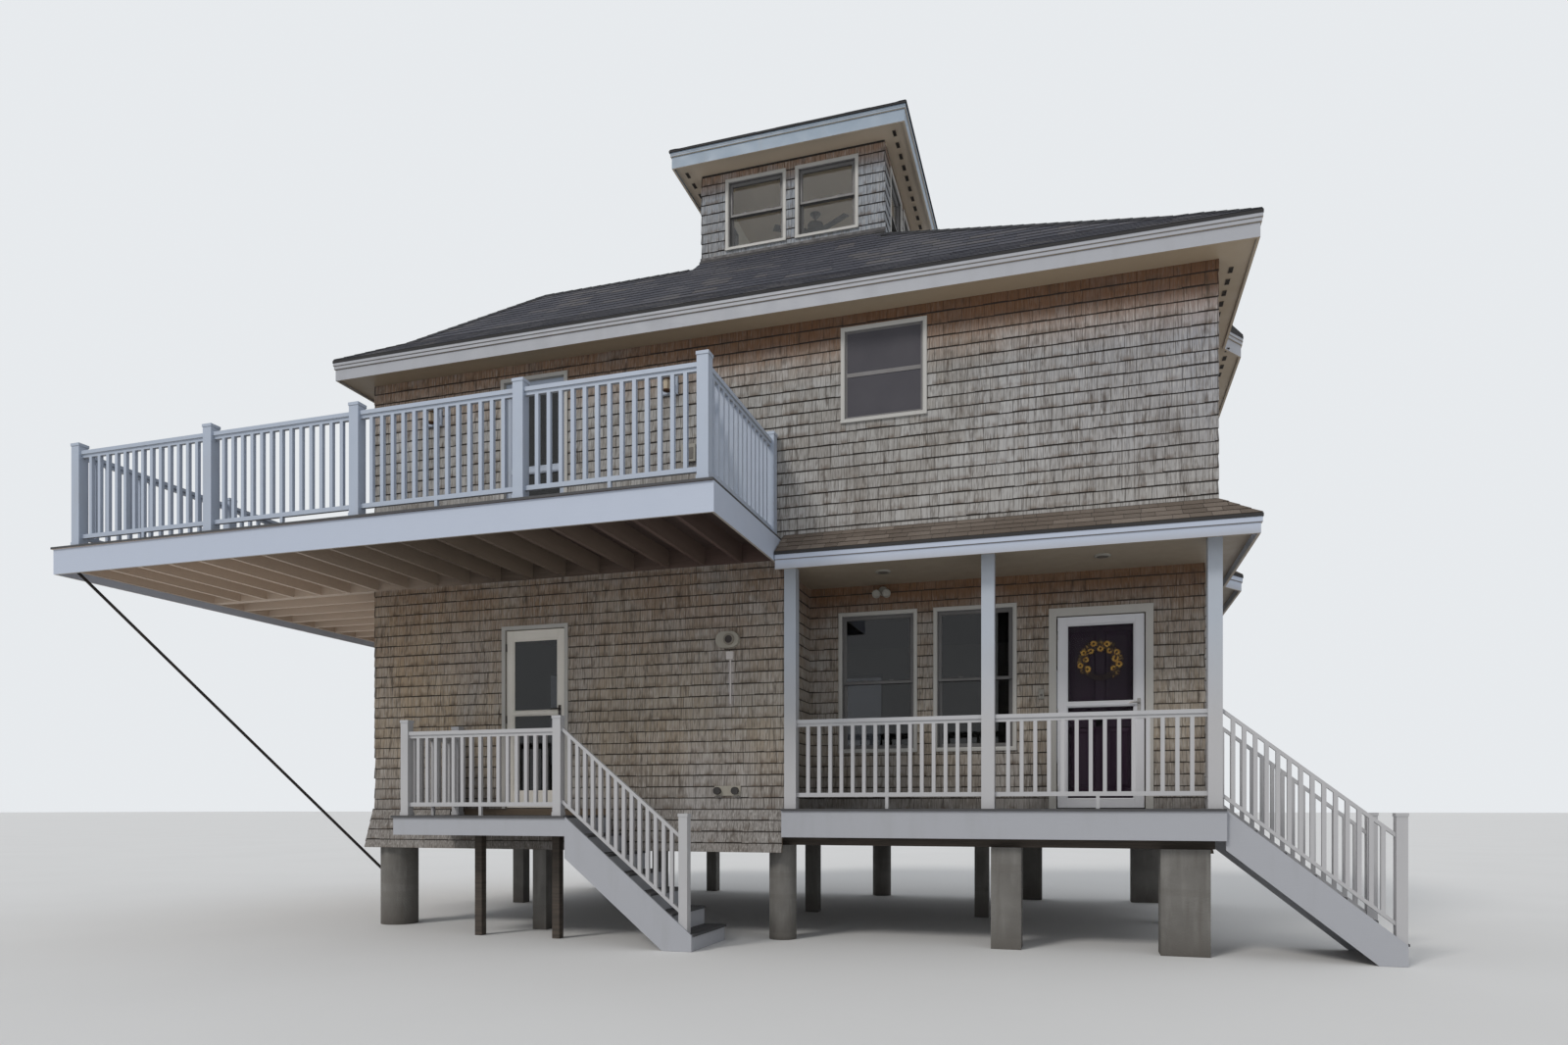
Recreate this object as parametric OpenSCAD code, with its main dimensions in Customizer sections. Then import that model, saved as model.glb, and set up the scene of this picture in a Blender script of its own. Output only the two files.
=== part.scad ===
// Two-storey shingled beach house on piers, with a recessed porch, a wrap-round balcony,
// a side landing with its own stair, a hipped roof and a windowed cupola.
// The front faces -Y, the ground is z = 0, and the origin is the middle of the base.

/* [House] */
// Width of the house along its front
house_w = 9754; // [9400:2:10200]
// Depth of the house, front wall to back wall
house_d = 6096; // [5900:2:6400]
// Thickness of the outer walls
wall_t = 150; // [120:5:180]
// Height of the ground floor and porch deck above the ground
floor_z = 1450; // [1350:10:1550]
// Depth of the ground floor platform
floor_t = 250; // [200:10:280]
// Height of the ceiling line of the ground storey above the ground
ceiling_z = 4150; // [4120:10:4180]
// Height of the upper floor above the ground
upper_z = 4420; // [4405:5:4440]
// Height of the wall tops under the main roof
wall_top = 6800; // [6760:5:6840]

/* [Bay] */
// Distance from the front wall to the start of the side bay
bay_start = 2070; // [1900:10:2200]
// Distance from the front wall to the end of the side bay
bay_end = 5250; // [4900:10:5500]
// How far the side bay stands out from the wall
bay_out = 210; // [150:15:255]

/* [Roofs] */
// Overhang of the main roof, wall to shingle edge
eave_out = 350; // [320:5:380]
// Slope of the lowest part of the roof, rise over run
flare_slope = 0.667; // [0.6:0.001:0.7]
// Width of the lowest part of the roof
flare_w = 610; // [560:5:640]
// Slope of the front, back and left faces above the flare
face_slope = 0.842; // [0.8:0.001:0.86]
// Height of the flat top left of the cupola
flat_z = 8440; // [8400:5:8480]
// Thickness of the roof shell, measured upright
roof_t = 180; // [150:5:200]
// Depth of the pent roof, wall to shingle edge
pent_out = 350; // [320:5:380]

/* [Cupola] */
// Width and depth of the cupola walls
cupola_w = 2454; // [2300:2:2500]
// Sideways offset of the cupola from the middle of the house
cupola_x = 35; // [0:5:60]
// Height of the cupola walls
cupola_h = 1142; // [1100:2:1200]
// Thickness of the cupola walls
cupola_t = 120; // [100:5:140]
// Overhang of the cupola roof
cupola_out = 335; // [300:5:360]

/* [Porch] */
// Left end of the porch, from the middle of the house
porch_x = 497; // [480:1:520]
// Depth of the porch recess
porch_d = 1050; // [1000:10:1100]
// Side of the square porch columns
column_w = 132; // [120:2:140]
// Height of the porch rail above its deck
porch_rail_h = 970; // [920:10:1020]

/* [Balcony] */
// How far the balcony stands out in front of the house
balcony_out = 2110; // [2000:10:2150]
// How far the balcony stands out past the left wall
balcony_side = 2610; // [2550:10:2650]
// Height of the balcony boards above the ground
balcony_z = 4400; // [4380:5:4400]
// Number of railing bays along the front
balcony_bays = 4; // [4:1:5]
// Height of the balcony rail above its boards
balcony_rail_h = 1065; // [1000:5:1070]

/* [Landing] */
// Left end of the side landing, from the middle of the house
landing_x = -3744; // [-3800:2:-3700]
// Length of the side landing
landing_w = 2150; // [2100:2:2200]
// Depth of the side landing
landing_d = 1080; // [1040:10:1100]
// Height of the landing boards above the ground
landing_z = 1375; // [1350:5:1400]

/* [Stairs] */
// Depth of one tread of the porch stair
porch_tread = 255; // [250:1:260]
// Depth of one tread of the landing stair
landing_tread = 240; // [235:1:245]
// Height of one step of the porch stair
porch_rise = 207; // [200:1:210]
// Height of one step of the landing stair
landing_rise = 200; // [195:1:205]

/* [Ceiling fan] */
// Length of a fan blade from the hub's centre
fan_r = 600; // [450:10:650]

/* [Hidden] */

// Corners and middle lines
half_w = house_w / 2;
eps = 1;
board_t = 25;
fascia_t = 25;
riser_t = 20;
joist_w = 45;
joist_deep = 195;
balcony_edge = 280;
porch_edge = 285;
landing_edge = 190;
joist_pitch = 420;
baluster_w = 38;
post_w = 95;
balcony_post_w = 112;
balcony_post_h = 1150;
landing_rail_h = 935;
landing_post_h = 1065;
treads_n = 6;
skirt_z = 970;
girder_h = 150;
pier_top = floor_z - floor_t - girder_h;
pier_row = 200;
corner_pier_r = 225;
corner_pier_x = -half_w + 200;
// The bay's slanting sides run 3 across to 4 along, so their mitres lean 1 in 3
bay_run = bay_out * 4 / 3;
lean = 1 / 3;
footprint = [[half_w, 0], [half_w, bay_start], [half_w + bay_out, bay_start + bay_run],
    [half_w + bay_out, bay_end - bay_run], [half_w, bay_end], [half_w, house_d],
    [-half_w, house_d], [-half_w, 0]];
porch_outline = [[half_w, porch_d], [half_w, bay_start], [half_w + bay_out, bay_start + bay_run],
    [half_w + bay_out, bay_end - bay_run], [half_w, bay_end], [half_w, house_d],
    [-half_w, house_d], [-half_w, 0], [porch_x, 0]];

// Openings, each [middle across the wall, middle height, width, height]
door_h = 2140;
leaf_gap = 12;
leaf_h = door_h - 20;
left_door_hole = [-2600, floor_z + door_h / 2, 800, door_h];
front_door_hole = [3822, floor_z + door_h / 2, 934, door_h];
balcony_door_hole = [-2611, upper_z + door_h / 2, 810, door_h];
low_size = [860, 1584];
up_size = [850, 950];
low_mid = 2941;
up_mid = 6110;
porch_windows = [for (x = [1328, 2455]) [x, low_mid, low_size[0], low_size[1]]];
upper_window = [1605, up_mid, up_size[0], up_size[1]];
side_y = [1700, 4400];
bay_y = [3000, 4320];
back_x = [-3000, 0, 3000];
cupola_size = [754, 858];
flange_w = 40;
cupola_gap = 478;

// Roof lines
eave_z = 6980;
fascia_top = eave_z - 30;
flare_top = eave_z + flare_slope * flare_w;
cupola_y = (house_d - cupola_w) / 2;
deck_top = round(flare_top + face_slope * (cupola_y + eave_out - flare_w));
flat_run = (flat_z - flare_top) / face_slope;
right_flare = 460;
right_flare_top = eave_z + flare_slope * right_flare;
right_top = 8580;
right_slope = 0.371;
bay_back = 560;
cupola_left = cupola_x - cupola_w / 2;
cupola_right = cupola_x + cupola_w / 2;
cupola_top = deck_top + cupola_h;
cupola_mid = (cupola_top + deck_top) / 2 - 12;
pent_z = 4180;
pent_top = 4450;
soffit_z = 4080;
pent_low = 4000;

// Porch, balcony and landing lines
porch_front = 100;
porch_end = half_w + 72;
column_y = 30;
column_x = [porch_x + column_w / 2 + 13, 2699, half_w - 23];
balcony_left = -half_w - balcony_side;
balcony_right = porch_x - 10;
rail_in = 70;
landing_end = landing_x + landing_w;
landing_post_y = -landing_d + 74;
landing_post_x = [landing_x + 124, landing_end - 112];

// Whole house shifted so that the origin is the middle of its box
nose = 20;
cap_out = 6;
box_left = balcony_left - nose;
box_right = porch_end + treads_n * porch_tread + nose;
box_front = -balcony_out - nose;
box_back = house_d + eave_out;
shift = [-(box_left + box_right) / 2, -(box_front + box_back) / 2, 0];

// Box between two corners
module slab(low, high) {
    translate(low) cube(high - low);
}

// Unit direction, and the outward side on the right of it
function way(a, b) = (b - a) / norm(b - a);
function side(d) = [d[1], -d[0]];

// Corner i of a path moved outward, with a true mitre between its two edges
function mitre(path, i, out, closed) =
    let (n = len(path),
        before = (i > 0 || closed) ? side(way(path[(i - 1 + n) % n], path[i])) : undef,
        after = (i < n - 1 || closed) ? side(way(path[i], path[(i + 1) % n])) : undef)
    before == undef ? path[i] + out * after
    : after == undef ? path[i] + out * before
    : path[i] + out * (before + after) / (1 + before * after);

// A section given as [distance out, height] run along a path with mitred corners
mitre_reach = 1500;

module run(path, section, closed = false) {
    n = len(path);
    reach = 2000;
    out = mitre_reach;
    for (i = [0 : n - (closed ? 1 : 2)]) {
        a = path[i];
        b = path[(i + 1) % n];
        intersection() {
            translate([a[0], a[1], 0])
                rotate([0, 0, atan2(b[1] - a[1], b[0] - a[0])])
                translate([-reach, 0, 0])
                rotate([90, 0, 90])
                linear_extrude(norm(b - a) + 2 * reach)
                polygon([for (p = section) [-p[0], p[1]]]);
            translate([0, 0, -eps])
                linear_extrude(20000)
                polygon([a, b, mitre(path, (i + 1) % n, out, closed), mitre(path, i, out, closed)]);
        }
    }
}

// Straight rod between two points
module rod(a, b, r) {
    d = b - a;
    translate(a)
        rotate([0, acos(d[2] / norm(d)), atan2(d[1], d[0])])
        cylinder(h = norm(d), r = r, $fn = 32);
}

// Wall along X with its outer face at y = 0 and its thickness towards +Y
module wall_x(x0, x1, z0, z1, holes = []) {
    difference() {
        slab([x0, 0, z0], [x1, wall_t, z1]);
        for (h = holes)
            slab([h[0] - h[2] / 2, -eps, h[1] - h[3] / 2], [h[0] + h[2] / 2, wall_t + eps, h[1] + h[3] / 2]);
    }
}

// Places a piece made for the front face on another side of the house
module on_left() { translate([-half_w, house_d, 0]) rotate([0, 0, -90]) children(); }
module on_back() { translate([0, house_d, 0]) rotate([0, 0, 180]) children(); }
module on_bay() { translate([half_w + bay_out, 0, 0]) rotate([0, 0, 90]) children(); }
module on_cupola(turns = [0, 90, 180, 270]) {
    for (a = turns)
        translate([cupola_x, house_d / 2, 0])
            rotate([0, 0, a])
            translate([0, -cupola_w / 2, 0])
            children();
}

module window_places() {
    for (w = porch_windows)
        translate([w[0], porch_d, w[1]]) place_size(low_size) children();
    translate([upper_window[0], 0, upper_window[1]]) place_size(up_size) children();
}

module place_size(size) { $size = size; children(); }

module all_windows() {
    window_places() children();
    for (y = side_y) {
        on_left() translate([house_d - y, 0, low_mid]) place_size(low_size) children();
        on_left() translate([house_d - y, 0, up_mid]) place_size(up_size) children();
    }
    for (y = bay_y) {
        on_bay() translate([y, 0, low_mid]) place_size(low_size) children();
        on_bay() translate([y, 0, up_mid]) place_size(up_size) children();
    }
    for (x = back_x) {
        on_back() translate([x, 0, low_mid]) place_size(low_size) children();
        on_back() translate([x, 0, up_mid]) place_size(up_size) children();
    }
    for (x = [-cupola_gap, cupola_gap])
        on_cupola() translate([x, 0, cupola_mid]) place_size(cupola_size) children();
}

// Ring in a wall plane: outer size, inner size and its reach in y
module ring(outer, inner, y0, y1) {
    difference() {
        slab([-outer[0] / 2, y0, -outer[1] / 2], [outer[0] / 2, y1, outer[1] / 2]);
        slab([-inner[0] / 2, y0 - eps, -inner[1] / 2], [inner[0] / 2, y1 + eps, inner[1] / 2]);
    }
}

// Double-hung window: flange on the wall, box frame in the hole, and two sashes, the upper outside
box_t = 15;
sash_w = 38;
sash_t = 35;
sash_y = [20, 55];
pane_in = 14;
pane_t = 6;
meeting = 19;

module sash(w, y, z0, z1) {
    difference() {
        slab([-w / 2, y, z0], [w / 2, y + sash_t, z1]);
        slab([-w / 2 + sash_w, y - eps, z0 + sash_w], [w / 2 - sash_w, y + sash_t + eps, z1 - sash_w]);
    }
}

module one_window() {
    w = $size[0];
    h = $size[1];
    lip = 5;
    proud = 20;
    sill = 12;
    box_deep = 110;
    ring([w + 2 * flange_w, h + 2 * flange_w], [w - 2 * lip, h - 2 * lip], -proud, 0);
    slab([-w / 2 - flange_w, -proud - sill, -h / 2 - flange_w], [w / 2 + flange_w, -proud, -h / 2]);
    ring([w, h], [w - 2 * box_t, h - 2 * box_t], 0, box_deep);
    sash(w - 2 * box_t, sash_y[0], -meeting, h / 2 - box_t);
    sash(w - 2 * box_t, sash_y[1], -h / 2 + box_t, meeting);
}

module one_glazing() {
    w = $size[0] / 2 - box_t - sash_w;
    h = $size[1] / 2 - box_t - sash_w;
    for (s = [[sash_y[0], meeting, h], [sash_y[1], -h, -meeting]])
        slab([-w, s[0] + pane_in, s[1]], [w, s[0] + pane_in + pane_t, s[2]]);
}

// Straight railing panel along X from the origin: cap, bottom rail on a block, and balusters
module rail_panel(length, count, high, low) {
    pitch = length / (count + 1);
    slab([length / 2 - 17, -17, 0], [length / 2 + 17, 17, low]);
    slab([0, -35, high - 40], [length, 35, high]);
    slab([0, -19, low], [length, 19, low + 45]);
    slab([0, -19, high - 75], [length, 19, high - 40]);
    for (i = [1 : count])
        slab([i * pitch - baluster_w / 2, -19, low + 45], [i * pitch + baluster_w / 2, 19, high - 75]);
}

// Sloping railing panel along X, falling by slope, made as one pierced outline
module sloped_panel(length, slope, count, high, low) {
    bar = 42;
    pitch = length / (count + 1);
    translate([0, 19, 0])
        rotate([90, 0, 0])
        linear_extrude(38)
        difference() {
            polygon([[0, low], [length, low - slope * length], [length, high - slope * length], [0, high]]);
            for (i = [0 : count]) {
                a = i * pitch + (i == 0 ? 0 : baluster_w / 2);
                b = (i + 1) * pitch - (i == count ? 0 : baluster_w / 2);
                polygon([[a, low + bar - slope * a], [b, low + bar - slope * b],
                    [b, high - bar - slope * b], [a, high - bar - slope * a]]);
            }
        }
}

// Square post with a flat cap, and a skirt round its foot where it stands on a deck
module post(x, y, z0, z1, w = post_w) {
    r = w / 2;
    slab([x - r, y - r, z0], [x + r, y + r, z1 - 30]);
    for (z = [if (z0 > 0) [z0, z0 + 40], [z1 - 30, z1]])
        slab([x - r - cap_out, y - r - cap_out, z[0]], [x + r + cap_out, y + r + cap_out, z[1]]);
}

// Closed stringer board of a stair that falls along +X from height z, as deep as given upright
module stringer(z, rise, tread, deep, y0, y1) {
    slope = rise / tread;
    reach = treads_n * tread;
    drop = 10;
    translate([0, y1, 0])
        rotate([90, 0, 0])
        linear_extrude(y1 - y0)
        polygon([[0, z - drop], [0, z - deep], [(z - deep) / slope, 0], [reach, 0],
            [reach, z - drop - slope * reach]]);
}

// Cut stringer: the treads lie on its steps
module cut_stringer(z, rise, tread, deep, y0, y1) {
    function level(i) = z - i * rise - board_t;
    back = riser_t + eps;
    translate([0, y1, 0])
        rotate([90, 0, 0])
        linear_extrude(y1 - y0)
        polygon(concat([[0, level(1)]],
            [for (i = [1 : treads_n]) each [
                if (i > 1) [(i - 1) * tread - back, level(i)],
                [i * tread - back, level(i)]]],
            [[treads_n * tread - back, 0], [(z - deep) * tread / rise, 0], [0, z - deep]]));
}

module treads(z, rise, tread, y0, y1) {
    for (i = [1 : treads_n])
        slab([(i - 1) * tread + eps, y0, z - i * rise - board_t], [i * tread + nose, y1, z - i * rise]);
}

module risers(z, rise, tread, y0, y1) {
    for (i = [1 : treads_n])
        slab([i * tread - riser_t, y0, i == treads_n ? 0 : z - (i + 1) * rise + eps],
            [i * tread, y1, z - i * rise - board_t - eps]);
}

// Foundation
module piers() {
    color("darkgray") {
        for (y = [pier_row, house_d - pier_row]) {
            translate([corner_pier_x, y, 0]) cylinder(h = pier_top, r = corner_pier_r, $fn = 64);
            translate([425, y, 0]) cylinder(h = pier_top, r = 152, $fn = 48);
            slab([2722, y - 150, 0], [3027, y + 150, pier_top]);
            slab([4368, y - 150, 0], [4824, y + 150, pier_top]);
            slab([-2700, y - 90, 0], [-2520, y + 90, pier_top]);
        }
        for (x = [-4700, -2350, 0, 2350, 4700])
            slab([x - 90, house_d / 2 - 90, 0], [x + 90, house_d / 2 + 90, pier_top]);
    }
}

// Timber girders on the piers, and the two legs under the side landing
landing_under = landing_z - 200;

module girders() {
    color("dimgray") {
        for (y = [pier_row, house_d / 2, house_d - pier_row])
            slab([-half_w + 5, y - 75, pier_top], [half_w - 5, y + 75, pier_top + girder_h]);
        for (x = [landing_x + 744, landing_end - 406])
            slab([x - 45, -560, 0], [x + 45, -470, landing_under]);
    }
}

module ground_floor() {
    color("tan")
        translate([0, 0, floor_z - floor_t])
        linear_extrude(floor_t)
        polygon(concat(porch_outline, [[porch_x, porch_d]]));
}

// Flared band of shingles round the edge of the floor
module shingle_skirt() {
    color("rosybrown")
        difference() {
            run(porch_outline,
                [[0, floor_z], [18, floor_z], [90, skirt_z], [65, skirt_z], [0, floor_z - 55]]);
            slab([landing_x - 20, -130, landing_z - 230], [landing_end, 1, floor_z + 1]);
        }
}

// Joists running away from the front in a grid that its two end boards join
module joist_grid(x0, x1, y0, y1, z0, z1, pitch) {
    n = floor((x1 - x0 - joist_w) / pitch);
    step = (x1 - x0 - joist_w) / n;
    for (i = [0 : n])
        slab([x0 + i * step, y0, z0], [x0 + i * step + joist_w, y1, z1]);
    slab([x0, y0, z0], [x1, y0 + joist_w, z1]);
    slab([x0, y1 - joist_w, z0], [x1, y1, z1]);
}

// The balcony's joists stand out from the wall beside them, so they turn at its corner
module deck_joists() {
    color("saddlebrown") {
        top = balcony_z - board_t;
        joist_grid(balcony_left + fascia_t, balcony_right - fascia_t, -balcony_out + fascia_t, 0,
            top - joist_deep, top, joist_pitch);
        translate([-half_w, 0, 0])
            rotate([0, 0, 90])
            joist_grid(5, house_d - fascia_t, 0, balcony_side - fascia_t, top - joist_deep, top, joist_pitch);
        joist_grid(porch_x + 5, porch_end - fascia_t, -porch_front + fascia_t, porch_d - 2,
            floor_z - floor_t, floor_z - board_t, 450);
        joist_grid(landing_x + fascia_t, landing_end - fascia_t, -landing_d + fascia_t, 0,
            landing_under, landing_z - board_t, 450);
    }
}

// White boards that close the edges of the decks
module deck_fascia() {
    color("white") {
        top = balcony_z - board_t;
        low = top - balcony_edge;
        slab([balcony_left, -balcony_out, low], [balcony_right, -balcony_out + fascia_t, top]);
        slab([balcony_right - fascia_t, -balcony_out + fascia_t, low], [balcony_right, 0, top]);
        slab([balcony_left, -balcony_out + fascia_t, low], [balcony_left + fascia_t, house_d, top]);
        slab([balcony_left + fascia_t, house_d - fascia_t, low], [-half_w, house_d, top]);
        deck = floor_z - board_t;
        slab([porch_x, -porch_front, deck - porch_edge], [porch_end, -porch_front + fascia_t, deck]);
        slab([porch_end - fascia_t, -porch_front + fascia_t, deck - porch_edge], [porch_end, porch_d, deck]);
        land = landing_z - board_t;
        slab([landing_x, -landing_d, land - landing_edge], [landing_end, -landing_d + fascia_t, land]);
        for (x = [landing_x, landing_end - fascia_t])
            slab([x, -landing_d + fascia_t, land - landing_edge], [x + fascia_t, 0, land]);
    }
}

module porch_deck() {
    color("slategray")
        slab([porch_x, -porch_front - nose, floor_z - board_t], [porch_end, porch_d, floor_z]);
}

// Ground storey walls
module front_wall_left() {
    color("rosybrown")
        wall_x(-half_w, left_door_hole[0] - left_door_hole[2] / 2, floor_z, ceiling_z);
}

module front_wall_middle() {
    color("rosybrown")
        wall_x(left_door_hole[0] + left_door_hole[2] / 2, porch_x, floor_z, ceiling_z);
}

module porch_side_wall() {
    color("rosybrown")
        slab([porch_x - wall_t, wall_t, floor_z], [porch_x, porch_d + wall_t, ceiling_z]);
}

module porch_back_wall() {
    color("rosybrown")
        translate([0, porch_d, 0])
        wall_x(porch_x, front_door_hole[0] - front_door_hole[2] / 2, floor_z, ceiling_z, porch_windows);
}

module porch_right_wall() {
    color("rosybrown")
        translate([0, porch_d, 0])
        wall_x(front_door_hole[0] + front_door_hole[2] / 2, half_w, floor_z, ceiling_z);
}

// Wall over each door that opens
module door_lintels() {
    color("rosybrown") {
        wall_x(left_door_hole[0] - left_door_hole[2] / 2, left_door_hole[0] + left_door_hole[2] / 2,
            floor_z + door_h, ceiling_z);
        translate([0, porch_d, 0])
            wall_x(front_door_hole[0] - front_door_hole[2] / 2, front_door_hole[0] + front_door_hole[2] / 2,
                floor_z + door_h, ceiling_z);
    }
}

module left_wall(z0, z1, mid, size) {
    color("rosybrown")
        difference() {
            slab([-half_w, wall_t, z0], [-half_w + wall_t, house_d - wall_t, z1]);
            for (y = side_y)
                slab([-half_w - eps, y - size[0] / 2, mid - size[1] / 2],
                    [-half_w + wall_t + eps, y + size[0] / 2, mid + size[1] / 2]);
        }
}

// Side wall with its shallow bay, cut through by two windows
module right_wall(y0, z0, z1, mid, size) {
    bend = wall_t * lean;
    color("rosybrown")
        difference() {
            translate([0, 0, z0])
                linear_extrude(z1 - z0)
                polygon([[half_w, y0], [half_w, bay_start], [half_w + bay_out, bay_start + bay_run],
                    [half_w + bay_out, bay_end - bay_run], [half_w, bay_end], [half_w, house_d - wall_t],
                    [half_w - wall_t, house_d - wall_t], [half_w - wall_t, bay_end - bend],
                    [half_w + bay_out - wall_t, bay_end - bay_run - bend],
                    [half_w + bay_out - wall_t, bay_start + bay_run + bend],
                    [half_w - wall_t, bay_start + bend], [half_w - wall_t, y0]]);
            for (y = bay_y)
                slab([half_w + bay_out - wall_t - eps, y - size[0] / 2, mid - size[1] / 2],
                    [half_w + bay_out + eps, y + size[0] / 2, mid + size[1] / 2]);
        }
}

module back_wall(z0, z1, mid, size) {
    color("rosybrown")
        on_back()
        wall_x(-half_w, half_w, z0, z1, [for (x = back_x) [x, mid, size[0], size[1]]]);
}

module left_wall_low() { left_wall(floor_z, ceiling_z, low_mid, low_size); }
module right_wall_low() { right_wall(porch_d + wall_t, floor_z, ceiling_z, low_mid, low_size); }
module back_wall_low() { back_wall(floor_z, ceiling_z, low_mid, low_size); }

// Upper storey
module upper_floor() {
    color("tan")
        translate([0, 0, ceiling_z])
        linear_extrude(upper_z - ceiling_z)
        polygon(footprint);
}

module front_wall_up() {
    color("rosybrown")
        wall_x(-half_w, half_w, upper_z, wall_top, [upper_window, balcony_door_hole]);
}

module left_wall_up() { left_wall(upper_z, wall_top, up_mid, up_size); }
module right_wall_up() { right_wall(wall_t, upper_z, wall_top, up_mid, up_size); }
module back_wall_up() { back_wall(upper_z, wall_top, up_mid, up_size); }

// Roof outline seen from the left, lifted by dz
function long_profile(dz) = let (e = eave_out, d = house_d) [
    [-e, fascia_top + dz], [-e, eave_z + dz], [-e + flare_w, flare_top + dz], [cupola_y, deck_top + dz],
    [d - cupola_y, deck_top + dz], [d + e - flare_w, flare_top + dz], [d + e, eave_z + dz],
    [d + e, fascia_top + dz]];

// Roof outline seen from the front, with the step up to the cupola and the shallow right face
function cross_profile(dz) = let (e = half_w + eave_out) [
    [-e, fascia_top + dz], [-e, eave_z + dz], [-e + flare_w, flare_top + dz],
    [-e + flare_w + flat_run, flat_z + dz], [cupola_left - 6, flat_z + dz], [cupola_left - 6, deck_top + dz],
    [cupola_right + 4, deck_top + dz], [cupola_right + 6, right_top + dz],
    [e - right_flare, right_flare_top + dz], [e, eave_z + dz], [e, fascia_top + dz]];

module roof_form(dz, low, inset) {
    reach = 9000;
    intersection() {
        translate([-reach, 0, 0])
            rotate([90, 0, 90])
            linear_extrude(2 * reach)
            polygon(concat([[-inset, low]], [[-inset, fascia_top + dz]], long_profile(dz),
                [[house_d + inset, fascia_top + dz], [house_d + inset, low]]));
        translate([0, reach, 0])
            rotate([90, 0, 0])
            linear_extrude(2 * reach)
            polygon(concat([[-half_w - inset, low]], [[-half_w - inset, fascia_top + dz]],
                cross_profile(dz), [[half_w + inset, fascia_top + dz], [half_w + inset, low]]));
    }
}

// Small shoulder of the right face over the side bay
module bay_shoulder() {
    e = half_w + bay_out + eave_out;
    slope = right_slope;
    back = bay_back;
    intersection() {
        translate([0, house_d, 0])
            rotate([90, 0, 0])
            linear_extrude(house_d)
            polygon([[e - back, wall_top], [e - 50, wall_top], [e - 50, fascia_top], [e, fascia_top],
                [e, eave_z], [e - back, eave_z + slope * back]]);
        union() {
            translate([0, 0, fascia_top])
                linear_extrude(600)
                polygon(bay_plan(eave_out));
            translate([0, 0, wall_top])
                linear_extrude(fascia_top - wall_top + eps)
                polygon(bay_plan(eave_out - 50));
        }
    }
}

// Plan of the shoulder, carried in over the wall and a little into the eave beside it
function bay_plan(out) = let (k = out * lean, x = half_w + out - 6, inside = half_w - 200) [
    [inside, bay_start], [x, bay_start - k - 8], [half_w + bay_out + out, bay_start + bay_run - k],
    [half_w + bay_out + out, bay_end - bay_run + k], [x, bay_end + k + 8], [inside, bay_end]];

module main_roof() {
    color("dimgray")
        difference() {
            union() {
                roof_form(0, wall_top, eave_out - 50);
                bay_shoulder();
            }
            intersection() {
                roof_form(-roof_t, wall_top - eps, eave_out - 50);
                slab([-half_w + wall_t, wall_t, wall_top - 2 * eps],
                    [half_w - wall_t, house_d - wall_t, deck_top + 100]);
            }
            slab([cupola_left + cupola_t, cupola_y + cupola_t, deck_top - 600],
                [cupola_right - cupola_t, house_d - cupola_y - cupola_t, deck_top + 100]);
        }
}

// Soffit, fascia and crown moulding under the edge of the main roof
module eave_trim() {
    top = fascia_top;
    inner = eave_out - 50;
    soffit = wall_top - 40;
    low = soffit - 20;
    face = [inner + fascia_t, inner + 38, inner + 46];
    step = [top - 75, top - 35];
    color("white")
        run(footprint, [[0, soffit], [inner, soffit], [inner, low], [face[0], low], [face[0], step[0]],
            [face[1], step[0]], [face[1], step[1]], [face[2], step[1]], [face[2], top], [inner, top],
            [inner, wall_top], [0, wall_top]], closed = true);
}

// Cupola
module cupola_wall(half) {
    color("rosybrown")
        difference() {
            slab([-half, 0, deck_top], [half, cupola_t, cupola_top]);
            for (x = [-cupola_gap, cupola_gap])
                slab([x - cupola_size[0] / 2, -eps, cupola_mid - cupola_size[1] / 2],
                    [x + cupola_size[0] / 2, cupola_t + eps, cupola_mid + cupola_size[1] / 2]);
        }
}

module cupola_front_walls() { on_cupola([0, 180]) cupola_wall(cupola_w / 2); }
module cupola_side_walls() { on_cupola([90, 270]) cupola_wall(cupola_w / 2 - cupola_t); }

// Boxed eave of the cupola: fascia, crown board, and the soffit that is also its ceiling
cupola_edge = cupola_w / 2 + cupola_out;
cupola_low = cupola_top + 170;

module cupola_trim() {
    r = cupola_edge;
    crown = 50;
    drop = 30;
    color("white")
        translate([cupola_x, house_d / 2, 0])
        difference() {
            for (s = [[r - 15, cupola_low - crown, cupola_low],
                    [r - 30, cupola_top - drop, cupola_low - crown]])
                slab([-s[0], -s[0], s[1]], [s[0], s[0], s[2]]);
            slab([-r + 55, -r + 55, cupola_top - drop - eps], [r - 55, r - 55, cupola_top]);
        }
}

// Pyramid roof of the cupola
module cupola_roof() {
    r = cupola_edge;
    slope = 0.5;
    low = cupola_low;
    edge = low + 20;
    color("dimgray")
        translate([cupola_x, house_d / 2, 0])
        intersection_for (a = [0, 90])
        rotate([0, 0, a])
        rotate([90, 0, 0])
        translate([0, 0, -r])
        linear_extrude(2 * r)
        polygon([[-r, low], [r, low], [r, edge], [0, edge + slope * r], [-r, edge]]);
}

// Pent roof over the porch, carried on along the right side and round the bay
pent_path = [[porch_x, 0], [half_w, 0], [half_w, bay_start], [half_w + bay_out, bay_start + bay_run],
    [half_w + bay_out, bay_end - bay_run], [half_w, bay_end], [half_w, house_d]];

module pent_roof() {
    color("sienna")
        run(pent_path, [[0, pent_top], [pent_out, pent_z], [pent_out, pent_z - 30],
            [pent_out - 45, pent_z - 30], [pent_out - 45, pent_z - 25], [0, pent_top - 60]]);
}

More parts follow.
